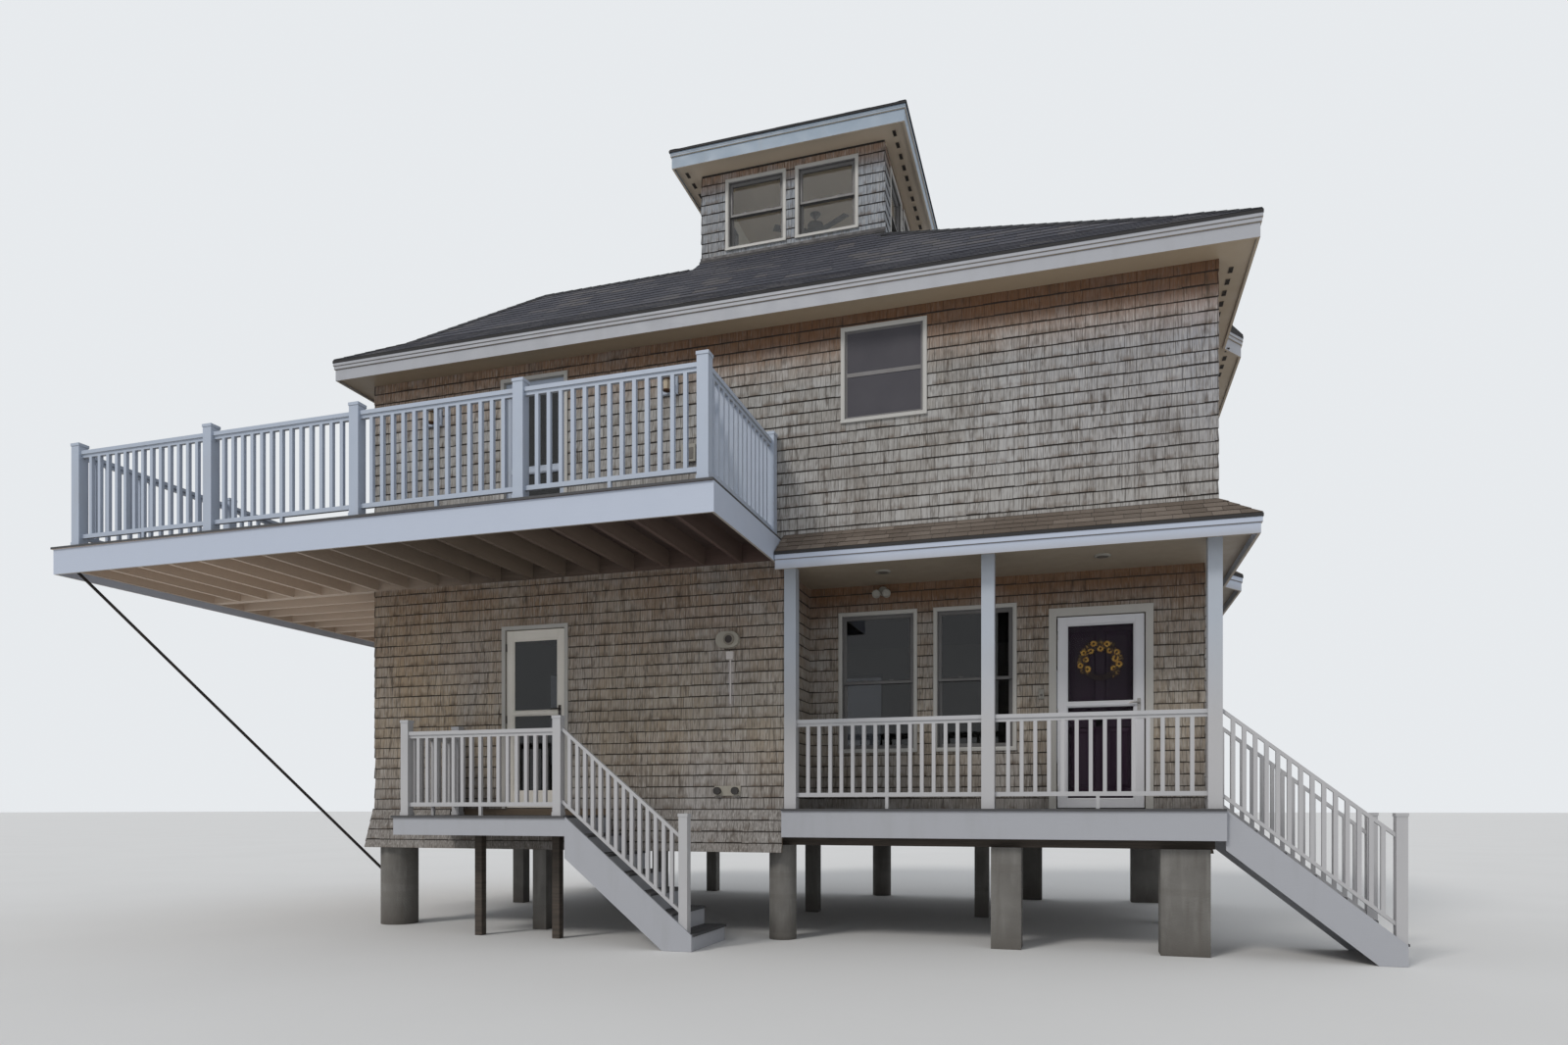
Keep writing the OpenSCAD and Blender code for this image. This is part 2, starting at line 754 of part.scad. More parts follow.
module pent_trim() {
    x = pent_out - 45;
    color("white")
        run(pent_path, [[0, soffit_z], [x, soffit_z], [x, pent_low], [x + 25, pent_low],
            [x + 25, pent_z - 80], [x + 38, pent_z - 80], [x + 38, pent_z - 30], [x, pent_z - 30],
            [x, soffit_z + 20], [0, soffit_z + 20]]);
}

// Boarded ceiling of the porch, level with the soffit in front of it
module porch_ceiling() {
    color("white") slab([porch_x, 0, soffit_z], [half_w, porch_d, ceiling_z]);
}

module porch_columns() {
    r = column_w / 2;
    color("white")
        for (x = column_x)
            translate([x, column_y, 0]) slab([-r, -r, floor_z], [r, r, soffit_z]);
}

module porch_rails() {
    r = column_w / 2;
    low = 128;
    color("white")
        for (i = [0, 1]) {
            a = column_x[i] + r;
            translate([a, column_y, floor_z])
                rail_panel(column_x[i + 1] - r - a, 15 - i, porch_rail_h, low);
        }
}

// Both stairs as [start, height, step, tread, depth of its stringers, front and back face].
// The newels stand just inside the stringers, and the treads are notched round them.
stringer_t = 25;
far_post_y = porch_d - stringer_t - post_w / 2 - 1;
porch_newel_x = porch_end + treads_n * porch_tread - 43;
landing_newel_x = landing_end + treads_n * landing_tread - 104;
porch_newel_h = 1410;
landing_newel_h = 1400;
near_edge = column_y - post_w / 2 - stringer_t - 1;
porch_stair = [porch_end, floor_z, porch_rise, porch_tread, 400, near_edge, porch_d];
landing_stair = [landing_end, landing_z, landing_rise, landing_tread, 445, -landing_d, -115];

// Every step of both stairs, between the front stringer and the back one or over it
module steps() {
    for (s = [[porch_stair, stringer_t], [landing_stair, 0]]) {
        $y0 = s[0][5] + stringer_t;
        $y1 = s[0][6] - s[1];
        $stair = s[0];
        translate([s[0][0], 0, 0]) children();
    }
}

// Room left for the newels in the steps, a millimetre clear of them
module newel_notches() {
    r = post_w / 2 + eps;
    for (p = [[porch_newel_x, column_y], [porch_newel_x, far_post_y], [landing_newel_x, landing_post_y]])
        slab([p[0] - r, p[1] - r, -eps], [p[0] + r, p[1] + r, floor_z]);
}

module stair_stringers() {
    color("white") {
        for (s = [porch_stair, landing_stair])
            translate([s[0], 0, 0]) stringer(s[1], s[2], s[3], s[4], s[5], s[5] + stringer_t);
        p = porch_stair;
        translate([p[0], 0, 0]) stringer(p[1], p[2], p[3], p[4], p[6] - stringer_t, p[6]);
        q = landing_stair;
        translate([q[0], 0, 0]) cut_stringer(q[1], q[2], q[3], q[4], q[6] - 45, q[6] - 5);
    }
}

module stair_treads() {
    color("slategray")
        difference() {
            steps() treads($stair[1], $stair[2], $stair[3], $y0, $y1);
            newel_notches();
        }
}

module stair_risers() {
    color("white")
        difference() {
            steps() risers($stair[1], $stair[2], $stair[3], $y0, $y1);
            newel_notches();
        }
}

// Sloping rails on both sides of the porch stair, with their posts
module porch_stair_rails() {
    slope = porch_rise / porch_tread;
    high = 950;
    low = 90;
    deck_post_h = 1110;
    color("white") {
        a = column_x[2] + column_w / 2;
        reach = porch_newel_x - post_w / 2;
        translate([a, column_y, floor_z + slope * (porch_end - a)])
            sloped_panel(reach - a, slope, 14, high, low);
        translate([porch_end, far_post_y, floor_z])
            sloped_panel(reach - porch_end, slope, 14, high, low);
        slab([porch_end - 60, far_post_y - 30, floor_z], [porch_end, far_post_y + 30, floor_z + deck_post_h]);
        for (y = [column_y, far_post_y]) post(porch_newel_x, y, 0, porch_newel_h);
    }
}

// Balcony
module balcony_deck() {
    color("slategray")
        difference() {
            slab([balcony_left - nose, -balcony_out - nose, balcony_z - board_t],
                [balcony_right, house_d, balcony_z]);
            slab([-half_w, 0, balcony_z - board_t - eps], [half_w, house_d + eps, balcony_z + eps]);
        }
}

front_y = -balcony_out + rail_in;
left_x = balcony_left + 310;
right_x = balcony_right - 115;
front_x = [for (i = [0 : balcony_bays]) left_x + i * (right_x - left_x) / balcony_bays];
side_bays = 4;
left_y = [for (i = [0 : side_bays]) front_y + i * (house_d - rail_in - front_y) / side_bays];
wall_post_y = -90;
back_post_x = -half_w - 90;
brace_foot_z = 470;

module balcony_post(x, y) { post(x, y, balcony_z, balcony_z + balcony_post_h, balcony_post_w); }

module balcony_posts() {
    color("white") {
        for (x = front_x) balcony_post(x, front_y);
        for (i = [1 : side_bays]) balcony_post(left_x, left_y[i]);
        balcony_post(right_x, wall_post_y);
        balcony_post(back_post_x, left_y[side_bays]);
    }
}

// Railing panel between the posts at distances a and b along X
module balcony_panel(a, b, count) {
    r = balcony_post_w / 2;
    low = 85;
    translate([a + r, 0, 0]) rail_panel(b - a - 2 * r, count, balcony_rail_h, low);
}

module balcony_rails() {
    color("white")
        translate([0, 0, balcony_z]) {
            for (i = [0 : balcony_bays - 1])
                translate([0, front_y, 0]) balcony_panel(front_x[i], front_x[i + 1], 13);
            translate([left_x, 0, 0]) rotate([0, 0, 90])
                for (i = [0 : side_bays - 1]) balcony_panel(left_y[i], left_y[i + 1], 13);
            translate([right_x, 0, 0]) rotate([0, 0, 90]) balcony_panel(front_y, wall_post_y, 13);
            translate([0, left_y[side_bays], 0]) balcony_panel(left_x, back_post_x, 15);
        }
}

// Slender pole from the outer corner of the balcony down to the corner pier
module balcony_brace() {
    color("dimgray")
        difference() {
            rod([balcony_left + 200, front_y, balcony_z - board_t - joist_deep - eps],
                [corner_pier_x, pier_row, brace_foot_z], 17);
            translate([corner_pier_x, pier_row, 0]) cylinder(h = pier_top, r = corner_pier_r + eps, $fn = 64);
            slab([balcony_left, -balcony_out, balcony_z - board_t - joist_deep], [0, 0, balcony_z]);
        }
}

// Side landing
module landing_deck() {
    color("slategray")
        slab([landing_x - nose, -landing_d - nose, landing_z - board_t], [landing_end, 0, landing_z]);
}

module landing_rails() {
    r = post_w / 2;
    slope = landing_rise / landing_tread;
    top = landing_z + landing_post_h;
    wall_y = -80;
    high = 890;
    low = 80;
    color("white") {
        for (x = landing_post_x) post(x, landing_post_y, landing_z, top);
        post(landing_post_x[0], wall_y, landing_z, top);
        translate([landing_post_x[0] + r, landing_post_y, landing_z])
            rail_panel(landing_post_x[1] - landing_post_x[0] - post_w, 15, landing_rail_h, 100);
        translate([landing_post_x[0], landing_post_y + r, landing_z])
            rotate([0, 0, 90]) rail_panel(wall_y - landing_post_y - post_w, 7, landing_rail_h, 100);
        a = landing_post_x[1] + r;
        translate([a, landing_post_y, landing_z + slope * (landing_end - a)])
            sloped_panel(landing_newel_x - r - a, slope, 14, high, low);
        post(landing_newel_x, landing_post_y, 0, landing_newel_h);
    }
}

// Windows
module window_frames() {
    color("white") all_windows() one_window();
}

module window_glass() {
    color("lightsteelblue", 0.5) all_windows() one_glazing();
}

// Casings on both sides and over each outer door
module casing(hole, trim, head) {
    w = hole[2] / 2;
    out = 22;
    translate([hole[0], 0, hole[1] - hole[3] / 2]) {
        for (s = [-1, 1])
            slab([s > 0 ? w : -w - trim, -out, 0], [s > 0 ? w + trim : -w, 0, hole[3]]);
        slab([-w - trim, -out, hole[3]], [w + trim, 0, hole[3] + head]);
    }
}

module door_casings() {
    color("white") {
        casing(left_door_hole, 45, 45);
        translate([0, porch_d, 0]) casing(front_door_hole, 80, 90);
        casing(balcony_door_hole, 45, 45);
    }
}

// Knuckles of a leaf's three hinges, on an axis just off its face at y
module knuckles(y) {
    for (z = [200, leaf_h / 2, leaf_h - 200])
        translate([0, y, z - 45]) cylinder(h = 90, r = 6, $fn = 32);
}

// Glazed leaf with its hinge edge on the origin, outer face at y = 0
module glazed_leaf(w, h, t, side_w, low_h, mid_h, mid_z, top_h) {
    difference() {
        slab([0, 0, 0], [w, t, h]);
        slab([side_w, -eps, low_h], [w - side_w, t + eps, mid_z]);
        slab([side_w, -eps, mid_z + mid_h], [w - side_w, t + eps, h - top_h]);
    }
    slab([side_w, t / 2 - 3, low_h], [w - side_w, t / 2 + 3, mid_z]);
    slab([side_w, t / 2 - 3, mid_z + mid_h], [w - side_w, t / 2 + 3, h - top_h]);
}

module pull(x, z, y) {
    slab([x - 12, y - 40, z - 90], [x + 12, y - 28, z + 90]);
    for (s = [-70, 70])
        slab([x - 12, y - 28, z + s - 10], [x + 12, y, z + s + 10]);
}

module left_door() {
    w = left_door_hole[2] - 2 * leaf_gap;
    color("ivory")
        translate([left_door_hole[0] - w / 2, 2, floor_z + 10]) {
            glazed_leaf(w, leaf_h, 40, 120, 190, 60, 890, 150);
            pull(w - 60, 950, 0);
            knuckles(-5);
        }
}

module storm_door() {
    w = front_door_hole[2] - 2 * leaf_gap;
    color("white")
        translate([front_door_hole[0] - w / 2, porch_d + 2, floor_z + 10]) {
            glazed_leaf(w, leaf_h, 35, 110, 90, 55, 980, 150);
            pull(w - 55, 950, 0);
            knuckles(-5);
        }
}

// Panelled inner door behind the storm door
module front_door() {
    w = front_door_hole[2] - 2 * leaf_gap;
    t = 45;
    h = leaf_h;
    color("indigo")
        translate([front_door_hole[0] - w / 2, porch_d + wall_t - t - 2, floor_z + 10]) {
            difference() {
                slab([0, 0, 0], [w, t, h]);
                for (x = [[120, w / 2 - 50], [w / 2 + 50, w - 120]])
                    for (z = [[200, 900], [1050, h - 160]])
                        slab([x[0], -eps, z[0]], [x[1], 12, z[1]]);
            }
            translate([w - 70, t, 950])
                rotate([-90, 0, 0])
                cylinder(h = 45, r = 28, $fn = 32);
            knuckles(t + 5);
        }
}

// Sliding glazed door of the balcony, drawn closed
module balcony_door() {
    w = balcony_door_hole[2];
    color("white")
        translate([balcony_door_hole[0] - w / 2, 30, upper_z])
        glazed_leaf(w, door_h, 60, 70, 150, 60, 1050, 80);
}

// Ceiling fan under the cupola
module fan_mount() {
    z = cupola_top;
    color("black")
        translate([cupola_x, house_d / 2, 0]) {
            translate([0, 0, z - 45]) cylinder(h = 45, r1 = 40, r2 = 75, $fn = 48);
            translate([0, 0, z - 150]) cylinder(h = 105, r = 14, $fn = 32);
            translate([0, 0, z - 250]) cylinder(h = 100, r = 110, $fn = 64);
            translate([0, 0, z - 310]) cylinder(h = 61, r = 8, $fn = 32);
        }
}

module fan_blades() {
    z = cupola_top - 300;
    color("black")
        translate([cupola_x, house_d / 2, z]) {
            difference() {
                cylinder(h = 44, r = 80, $fn = 64);
                translate([0, 0, -eps]) cylinder(h = 46, r = 14, $fn = 48);
            }
            for (i = [0 : 2])
                rotate([0, 0, 90 + i * 120])
                    translate([60, -55, 14])
                    rotate([10, 0, 0])
                    cube([fan_r - 60, 120, 9]);
        }
}

// Fittings on the walls
module wall_lanterns() {
    z = 6250;
    color("peru")
        for (x = [-3989, -856])
            translate([x, 0, z]) {
                slab([-105, -40, -105], [105, 0, 105]);
                slab([-14, -80, 40], [14, -40, 62]);
                translate([0, -100, -95]) cylinder(h = 130, r1 = 44, r2 = 54, $fn = 48);
                translate([0, -100, 35]) cylinder(h = 60, r1 = 66, r2 = 20, $fn = 48);
            }
}

// Oval vent hood with its conduit, and the plate with two capped vents below it
module meter_box() {
    color("lightgray")
        translate([-145, 0, 3330]) {
            slab([-45, -70, -90], [45, 0, 90]);
            for (s = [-45, 45])
                translate([s, -70, 0]) rotate([-90, 0, 0]) cylinder(h = 70, r = 90, $fn = 48);
            translate([25, -90, 0]) rotate([-90, 0, 0]) cylinder(h = 20, r = 62, $fn = 48);
            slab([-20, -45, -215], [60, 0, -130]);
            translate([25, -22, -710]) cylinder(h = 500, r = 11, $fn = 32);
            slab([-165, -25, -1735], [145, 0, -1625]);
            for (x = [-125, 85])
                translate([x, -65, -1680]) rotate([-90, 0, 0]) cylinder(h = 40, r = 42, $fn = 48);
        }
}

translate(shift) {
    piers();
    girders();
    ground_floor();
    shingle_skirt();
    deck_joists();
    deck_fascia();
    porch_deck();
    front_wall_left();
    front_wall_middle();
    porch_side_wall();
    porch_back_wall();
    porch_right_wall();
    door_lintels();
    left_wall_low();
    right_wall_low();
    back_wall_low();
    upper_floor();
    front_wall_up();
    left_wall_up();
    right_wall_up();
    back_wall_up();
    main_roof();
    eave_trim();
    cupola_front_walls();
    cupola_side_walls();
    cupola_trim();
    cupola_roof();
    pent_roof();
    pent_trim();
    porch_ceiling();
    porch_columns();
    porch_rails();
    porch_stair_rails();
    stair_stringers();
    stair_treads();
    stair_risers();
    balcony_deck();
    balcony_posts();
    balcony_rails();
    balcony_brace();
    landing_deck();
    landing_rails();
    window_frames();
    window_glass();
    door_casings();
    left_door();
    storm_door();
    front_door();
    balcony_door();
    fan_mount();
    fan_blades();
    wall_lanterns();
    meter_box();
}
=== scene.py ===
# Beach house on piers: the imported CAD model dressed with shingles, boards, sashes and finishes.
# The front faces -Y. Lengths are metres.
import math
import random

import bmesh
import bpy
from mathutils import Matrix, Vector


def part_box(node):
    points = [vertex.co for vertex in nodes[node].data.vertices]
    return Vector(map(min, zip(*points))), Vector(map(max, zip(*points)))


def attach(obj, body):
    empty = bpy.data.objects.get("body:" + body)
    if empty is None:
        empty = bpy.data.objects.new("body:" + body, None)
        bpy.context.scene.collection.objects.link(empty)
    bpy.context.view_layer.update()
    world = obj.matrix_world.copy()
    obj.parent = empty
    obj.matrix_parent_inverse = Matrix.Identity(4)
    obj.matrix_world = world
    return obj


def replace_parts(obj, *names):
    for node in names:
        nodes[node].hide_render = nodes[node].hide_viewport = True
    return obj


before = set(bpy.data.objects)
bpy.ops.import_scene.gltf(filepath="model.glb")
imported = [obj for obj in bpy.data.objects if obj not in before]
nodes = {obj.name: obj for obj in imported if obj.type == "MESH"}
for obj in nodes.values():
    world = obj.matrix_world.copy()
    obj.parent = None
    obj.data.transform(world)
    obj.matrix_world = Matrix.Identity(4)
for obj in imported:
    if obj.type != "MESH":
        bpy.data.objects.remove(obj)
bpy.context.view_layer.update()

# Camera
# It stands before the porch stair at eye height, level and turned a little to the left. The lens
# is shifted up, so that upright lines stay parallel. The sensor's width does not set this view.
wall_low, wall_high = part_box("front_wall_up")
ORIGIN = Vector(((wall_low.x + wall_high.x) / 2, wall_low.y, 0.0))
camera_data = bpy.data.cameras.new("camera")
camera_data.sensor_fit = "VERTICAL"
camera_data.sensor_height = 23.985
camera_data.sensor_width = 24.5
camera_data.lens = 22.25
camera_data.shift_y = 0.2739
camera_data.clip_end = 900.0
camera = bpy.data.objects.new("camera", camera_data)
EYE, TURN_LEFT = Vector((3.5965, -10.18, 1.45)), math.radians(16.93)
camera.location = ORIGIN + EYE
camera.rotation_euler = (math.radians(90.0), 0.0, TURN_LEFT)
bpy.context.scene.collection.objects.link(camera)
bpy.context.scene.camera = camera

# Piers and girders
# Cast concrete piers, round at the corners and square between, carry dark timber girders. Their
# finishes are principled shaders fed by noise that is fixed to the object, as all later ones are.
def new_group(name, inputs, outputs):
    group = bpy.data.node_groups.new(name, "ShaderNodeTree")
    for label, kind, value in inputs:
        socket = group.interface.new_socket(label, in_out="INPUT", socket_type=kind)
        if value is not None:
            socket.default_value = value
    for label, kind in outputs:
        group.interface.new_socket(label, in_out="OUTPUT", socket_type=kind)
    return group, group.nodes.new("NodeGroupInput"), group.nodes.new("NodeGroupOutput")


def stretched_noise_group():
    """Noise of the object's coordinates, stretched by a scale on each axis, as a mask."""
    group, inp, out = new_group(
        "stretched_noise",
        [("Scale", "NodeSocketVector", (1.0, 1.0, 1.0)), ("Detail", "NodeSocketFloat", 4.0),
         ("Low", "NodeSocketFloat", 0.35), ("High", "NodeSocketFloat", 0.65)],
        [("Mask", "NodeSocketFloat")])
    place = group.nodes.new("ShaderNodeTexCoord")
    scale = group.nodes.new("ShaderNodeVectorMath")
    scale.operation = "MULTIPLY"
    noise = group.nodes.new("ShaderNodeTexNoise")
    noise.inputs["Scale"].default_value = 1.0
    spread = group.nodes.new("ShaderNodeMapRange")
    link = group.links.new
    link(place.outputs["Object"], scale.inputs[0])
    link(inp.outputs["Scale"], scale.inputs[1])
    link(scale.outputs[0], noise.inputs["Vector"])
    link(inp.outputs["Detail"], noise.inputs["Detail"])
    link(noise.outputs["Fac"], spread.inputs["Value"])
    link(inp.outputs["Low"], spread.inputs["From Min"])
    link(inp.outputs["High"], spread.inputs["From Max"])
    link(spread.outputs["Result"], out.inputs["Mask"])
    return group


def blend_group():
    """Colour A turned towards colour B by a mask times an amount."""
    group, inp, out = new_group(
        "tint",
        [("A", "NodeSocketColor", None), ("B", "NodeSocketColor", None),
         ("Mask", "NodeSocketFloat", 0.0), ("Amount", "NodeSocketFloat", 1.0)],
        [("Color", "NodeSocketColor")])
    times = group.nodes.new("ShaderNodeMath")
    times.operation = "MULTIPLY"
    times.use_clamp = True
    mix = group.nodes.new("ShaderNodeMix")
    mix.data_type = "RGBA"
    link = group.links.new
    link(inp.outputs["Mask"], times.inputs[0])
    link(inp.outputs["Amount"], times.inputs[1])
    link(times.outputs[0], mix.inputs[0])
    link(inp.outputs["A"], mix.inputs[6])
    link(inp.outputs["B"], mix.inputs[7])
    link(mix.outputs[2], out.inputs["Color"])
    return group


STRETCHED = stretched_noise_group()
TINT = blend_group()


class Finish:
    """A node material that is built up layer by layer, from its base colour outwards."""

    def __init__(self, name, color, roughness=0.6, **plain):
        self.material = bpy.data.materials.new(name)
        self.material.use_nodes = True
        self.tree = self.material.node_tree
        self.shader = self.tree.nodes["Principled BSDF"]
        self.shader.inputs["Roughness"].default_value = roughness
        for label, value in plain.items():
            self.shader.inputs[label.replace("_", " ")].default_value = value
        start = self.node("ShaderNodeRGB")
        start.outputs[0].default_value = (*color, 1.0)
        self.color = start.outputs[0]
        self.height = None

    def node(self, kind, **values):
        node = self.tree.nodes.new(kind)
        for label, value in values.items():
            setattr(node, label, value)
        return node

    def link(self, a, b):
        self.tree.links.new(a, b)

    def noise(self, scale, low=0.35, high=0.65, detail=4.0):
        group = self.node("ShaderNodeGroup")
        group.node_tree = STRETCHED
        scale = scale if isinstance(scale, tuple) else (scale,) * 3
        for label, value in (("Scale", scale), ("Detail", detail), ("Low", low), ("High", high)):
            group.inputs[label].default_value = value
        return group.outputs["Mask"]

    def island(self):
        return self.node("ShaderNodeNewGeometry").outputs["Random Per Island"]

    def ramp(self, value, stops):
        ramp = self.node("ShaderNodeValToRGB")
        while len(ramp.color_ramp.elements) < len(stops):
            ramp.color_ramp.elements.new(0.5)
        for element, (place, color) in zip(ramp.color_ramp.elements, stops):
            element.position = place
            element.color = (*color, 1.0)
        self.link(value, ramp.inputs[0])
        return ramp.outputs[0]

    def spread(self, value, low, high):
        """Mask that rises from 0 to 1 while a value goes from low to high."""
        spread = self.node("ShaderNodeMapRange")
        spread.inputs["From Min"].default_value = low
        spread.inputs["From Max"].default_value = high
        self.link(value, spread.inputs["Value"])
        return spread.outputs["Result"]

    def part(self, vector, axis):
        split = self.node("ShaderNodeSeparateXYZ")
        self.link(vector, split.inputs[0])
        return split.outputs[axis]

    def band(self, axis, low, high):
        """Mask that rises from 0 to 1 between two places along an axis of the object."""
        place = self.node("ShaderNodeTexCoord").outputs["Object"]
        return self.spread(self.part(place, axis), low, high)

    def facing(self, axis, low, high):
        """Mask that rises with how far the surface faces along an axis."""
        normal = self.node("ShaderNodeNewGeometry").outputs["True Normal"]
        return self.spread(self.part(normal, axis), low, high)

    def lay(self, axis):
        """What lay_courses keeps at each point, as numbers that the material can use."""
        return self.part(self.node("ShaderNodeAttribute", attribute_name="lay").outputs["Vector"], axis)

    def zone(self, axis, start, full, fade, end):
        """1 from full to fade along an axis, falling to 0 at start and at end."""
        return self.math(self.band(axis, start, full), self.band(axis, end, fade))

    def math(self, a, b, operation="MULTIPLY"):
        node = self.node("ShaderNodeMath", operation=operation, use_clamp=True)
        for socket, value in zip(node.inputs, (a, b)):
            if isinstance(value, (int, float)):
                socket.default_value = value
            else:
                self.link(value, socket)
        return node.outputs[0]

    def tint(self, color, mask, amount=1.0):
        group = self.node("ShaderNodeGroup")
        group.node_tree = TINT
        self.link(self.color, group.inputs["A"])
        if isinstance(color, tuple):
            group.inputs["B"].default_value = (*color, 1.0)
        else:
            self.link(color, group.inputs["B"])
        self.link(mask, group.inputs["Mask"])
        group.inputs["Amount"].default_value = amount
        self.color = group.outputs["Color"]

    def tones(self, *stops):
        """Gives each shingle, board or petal its own tone from a ramp."""
        own = self.island()
        self.tint(self.ramp(own, stops), own, 3.0)

    def bump(self, mask, distance, strength=1.0):
        node = self.node("ShaderNodeBump")
        node.inputs["Distance"].default_value = distance
        node.inputs["Strength"].default_value = strength
        self.link(mask, node.inputs["Height"])
        if self.height is not None:
            self.link(self.height, node.inputs["Normal"])
        self.height = node.outputs["Normal"]

    def rough(self, mask, low, high):
        spread = self.node("ShaderNodeMapRange")
        spread.inputs["To Min"].default_value = low
        spread.inputs["To Max"].default_value = high
        self.link(mask, spread.inputs["Value"])
        self.link(spread.outputs["Result"], self.shader.inputs["Roughness"])

    def done(self):
        self.link(self.color, self.shader.inputs["Base Color"])
        if self.height is not None:
            self.link(self.height, self.shader.inputs["Normal"])
        return self.material


def clouded(name, color, roughness, second, grain, amount=0.5, rough=None, **plain):
    """Finish with clouds of a second colour and, where rough is given, an uneven sheen.

    grain holds the arguments of the clouds' noise; rough is (noise scale, lowest, highest)."""
    finish = Finish(name, color, roughness, **plain)
    finish.tint(second, finish.noise(*grain), amount)
    if rough:
        finish.rough(finish.noise(rough[0]), *rough[1:])
    return finish


def ease_edges(piece, width):
    if width:
        bevel = piece.modifiers.new("eased_edges", "BEVEL")
        bevel.width = width
        bevel.segments = 1
        bevel.limit_method = "ANGLE"
        bevel.angle_limit = math.radians(40.0)


def dress(material, *names, edge=0.0):
    """Gives CAD nodes their finish, and eases their sharp edges where edge is given."""
    for name in names:
        node = nodes[name]
        node.data.materials.clear()
        node.data.materials.append(material)
        ease_edges(node, edge)


concrete = Finish("cast_concrete", (0.185, 0.178, 0.165), 0.85)
concrete.tint((0.125, 0.118, 0.108), concrete.noise(3.0, 0.35, 0.7), 0.8)
concrete.tint((0.27, 0.262, 0.245), concrete.noise((9.0, 9.0, 1.6), 0.5, 0.75), 0.6)
concrete.tint((0.075, 0.066, 0.056), concrete.band(2, 0.32, 0.0), 0.75)
concrete.tint((0.10, 0.088, 0.074), concrete.noise((14.0, 14.0, 0.9), 0.58, 0.75), 0.5)
concrete.tint((0.145, 0.135, 0.122), concrete.noise((0.4, 0.4, 7.0), 0.6, 0.64, 1.0), 0.4)
concrete.bump(concrete.noise(60.0, 0.3, 0.7), 0.004, 0.6)
dress(concrete.done(), "piers", edge=0.008)

dark_timber = clouded("dark_timber", (0.050, 0.040, 0.032), 0.8, (0.10, 0.078, 0.06),
                      ((2.0, 2.0, 40.0), 0.4, 0.7), 0.6)
dark_timber.bump(dark_timber.noise((3.0, 3.0, 90.0)), 0.003, 0.5)
dress(dark_timber.done(), "girders", edge=0.004)

# Wall cores and floors
# Framed walls, boarded outside and painted inside. The boarding shows only in the gaps between
# shingles and is near-black there as painted shade; the paint shows only through the panes, a darker
# tan in the house as painted shade of its dark rooms and a paler one in the cupola as painted light.
HALF, DEPTH = 4.877, 6.096
CUPOLA_X, CUPOLA_Y, CUPOLA_R = 0.035, 3.048, 1.227
BOARDING_SHADE = (0.022, 0.018, 0.015)
for label, axis, sign, names in (
        ("front", 1, -1.0, ("front_wall_left", "front_wall_middle", "front_wall_up", "door_lintels",
                            "porch_back_wall", "porch_right_wall")),
        ("back", 1, 1.0, ("back_wall_low", "back_wall_up")),
        ("left", 0, -1.0, ("left_wall_low", "left_wall_up")),
        ("right", 0, 1.0, ("right_wall_low", "right_wall_up", "porch_side_wall"))):
    # Inside paint in a darker tan, as painted shade of the dark rooms.
    core = clouded(label + "_wall_core", (0.50, 0.47, 0.41), 0.75, (0.42, 0.39, 0.34), (1.5, 0.4, 0.7))
    # Painted shade: the outer side, seen only in the gaps between shingles, is near-black.
    core.tint(BOARDING_SHADE, core.facing(axis, 0.4 * sign, 0.5 * sign))
    core.bump(core.noise(90.0), 0.0006, 0.4)
    dress(core.done(), *names)
for label, axis, middle in (("cupola_front_walls", 1, CUPOLA_Y + ORIGIN.y),
                            ("cupola_side_walls", 0, CUPOLA_X + ORIGIN.x)):
    # Inside paint of the cupola in a paler tan, as painted light of its sunlit room.
    core = clouded(label + "_core", (0.84, 0.80, 0.69), 0.75, (0.78, 0.73, 0.60), (1.5, 0.4, 0.7))
    # Painted shade: the outer sides of the cupola's core are near-black.
    for edge in (-CUPOLA_R, CUPOLA_R):
        core.tint(BOARDING_SHADE, core.band(axis, middle + edge * 0.96, middle + edge * 0.98))
    dress(core.done(), label)
floors = clouded("floor_boards", (0.17, 0.125, 0.085), 0.6, (0.11, 0.078, 0.052),
                 ((1.0, 30.0, 30.0), 0.4, 0.7), 0.6)
floors.tint((0.075, 0.06, 0.048), floors.facing(2, -0.5, -0.9))
floors.bump(floors.noise((2.0, 60.0, 40.0)), 0.001, 0.4)
dress(floors.done(), "ground_floor", "upper_floor", "shingle_skirt")

# Cedar shingles
# Weathered split shingles in courses of 5 inches, nailed one by one. Each is a thin wedge with
# its own width, butt height and tone; they are browner where the eaves keep the rain off, and carry
# painted shadow under the eaves and under every butt.
FLOOR, SOFFIT = 1.45, 6.76
BAY_OUT = 0.21
BAY = [(HALF, 2.07), (HALF + BAY_OUT, 2.35), (HALF + BAY_OUT, 4.97), (HALF, 5.25)]
PORCH_X, PORCH_D = 0.497, 1.05
COURSE = 0.127
BUTT, TIP = 0.013, 0.003
LEAST_RISE, LEAST_AREA = 0.004, 4e-5


def at(x, y, z):
    """Point given from the middle of the front wall, in the frame."""
    return Vector((x, y, z)) + ORIGIN


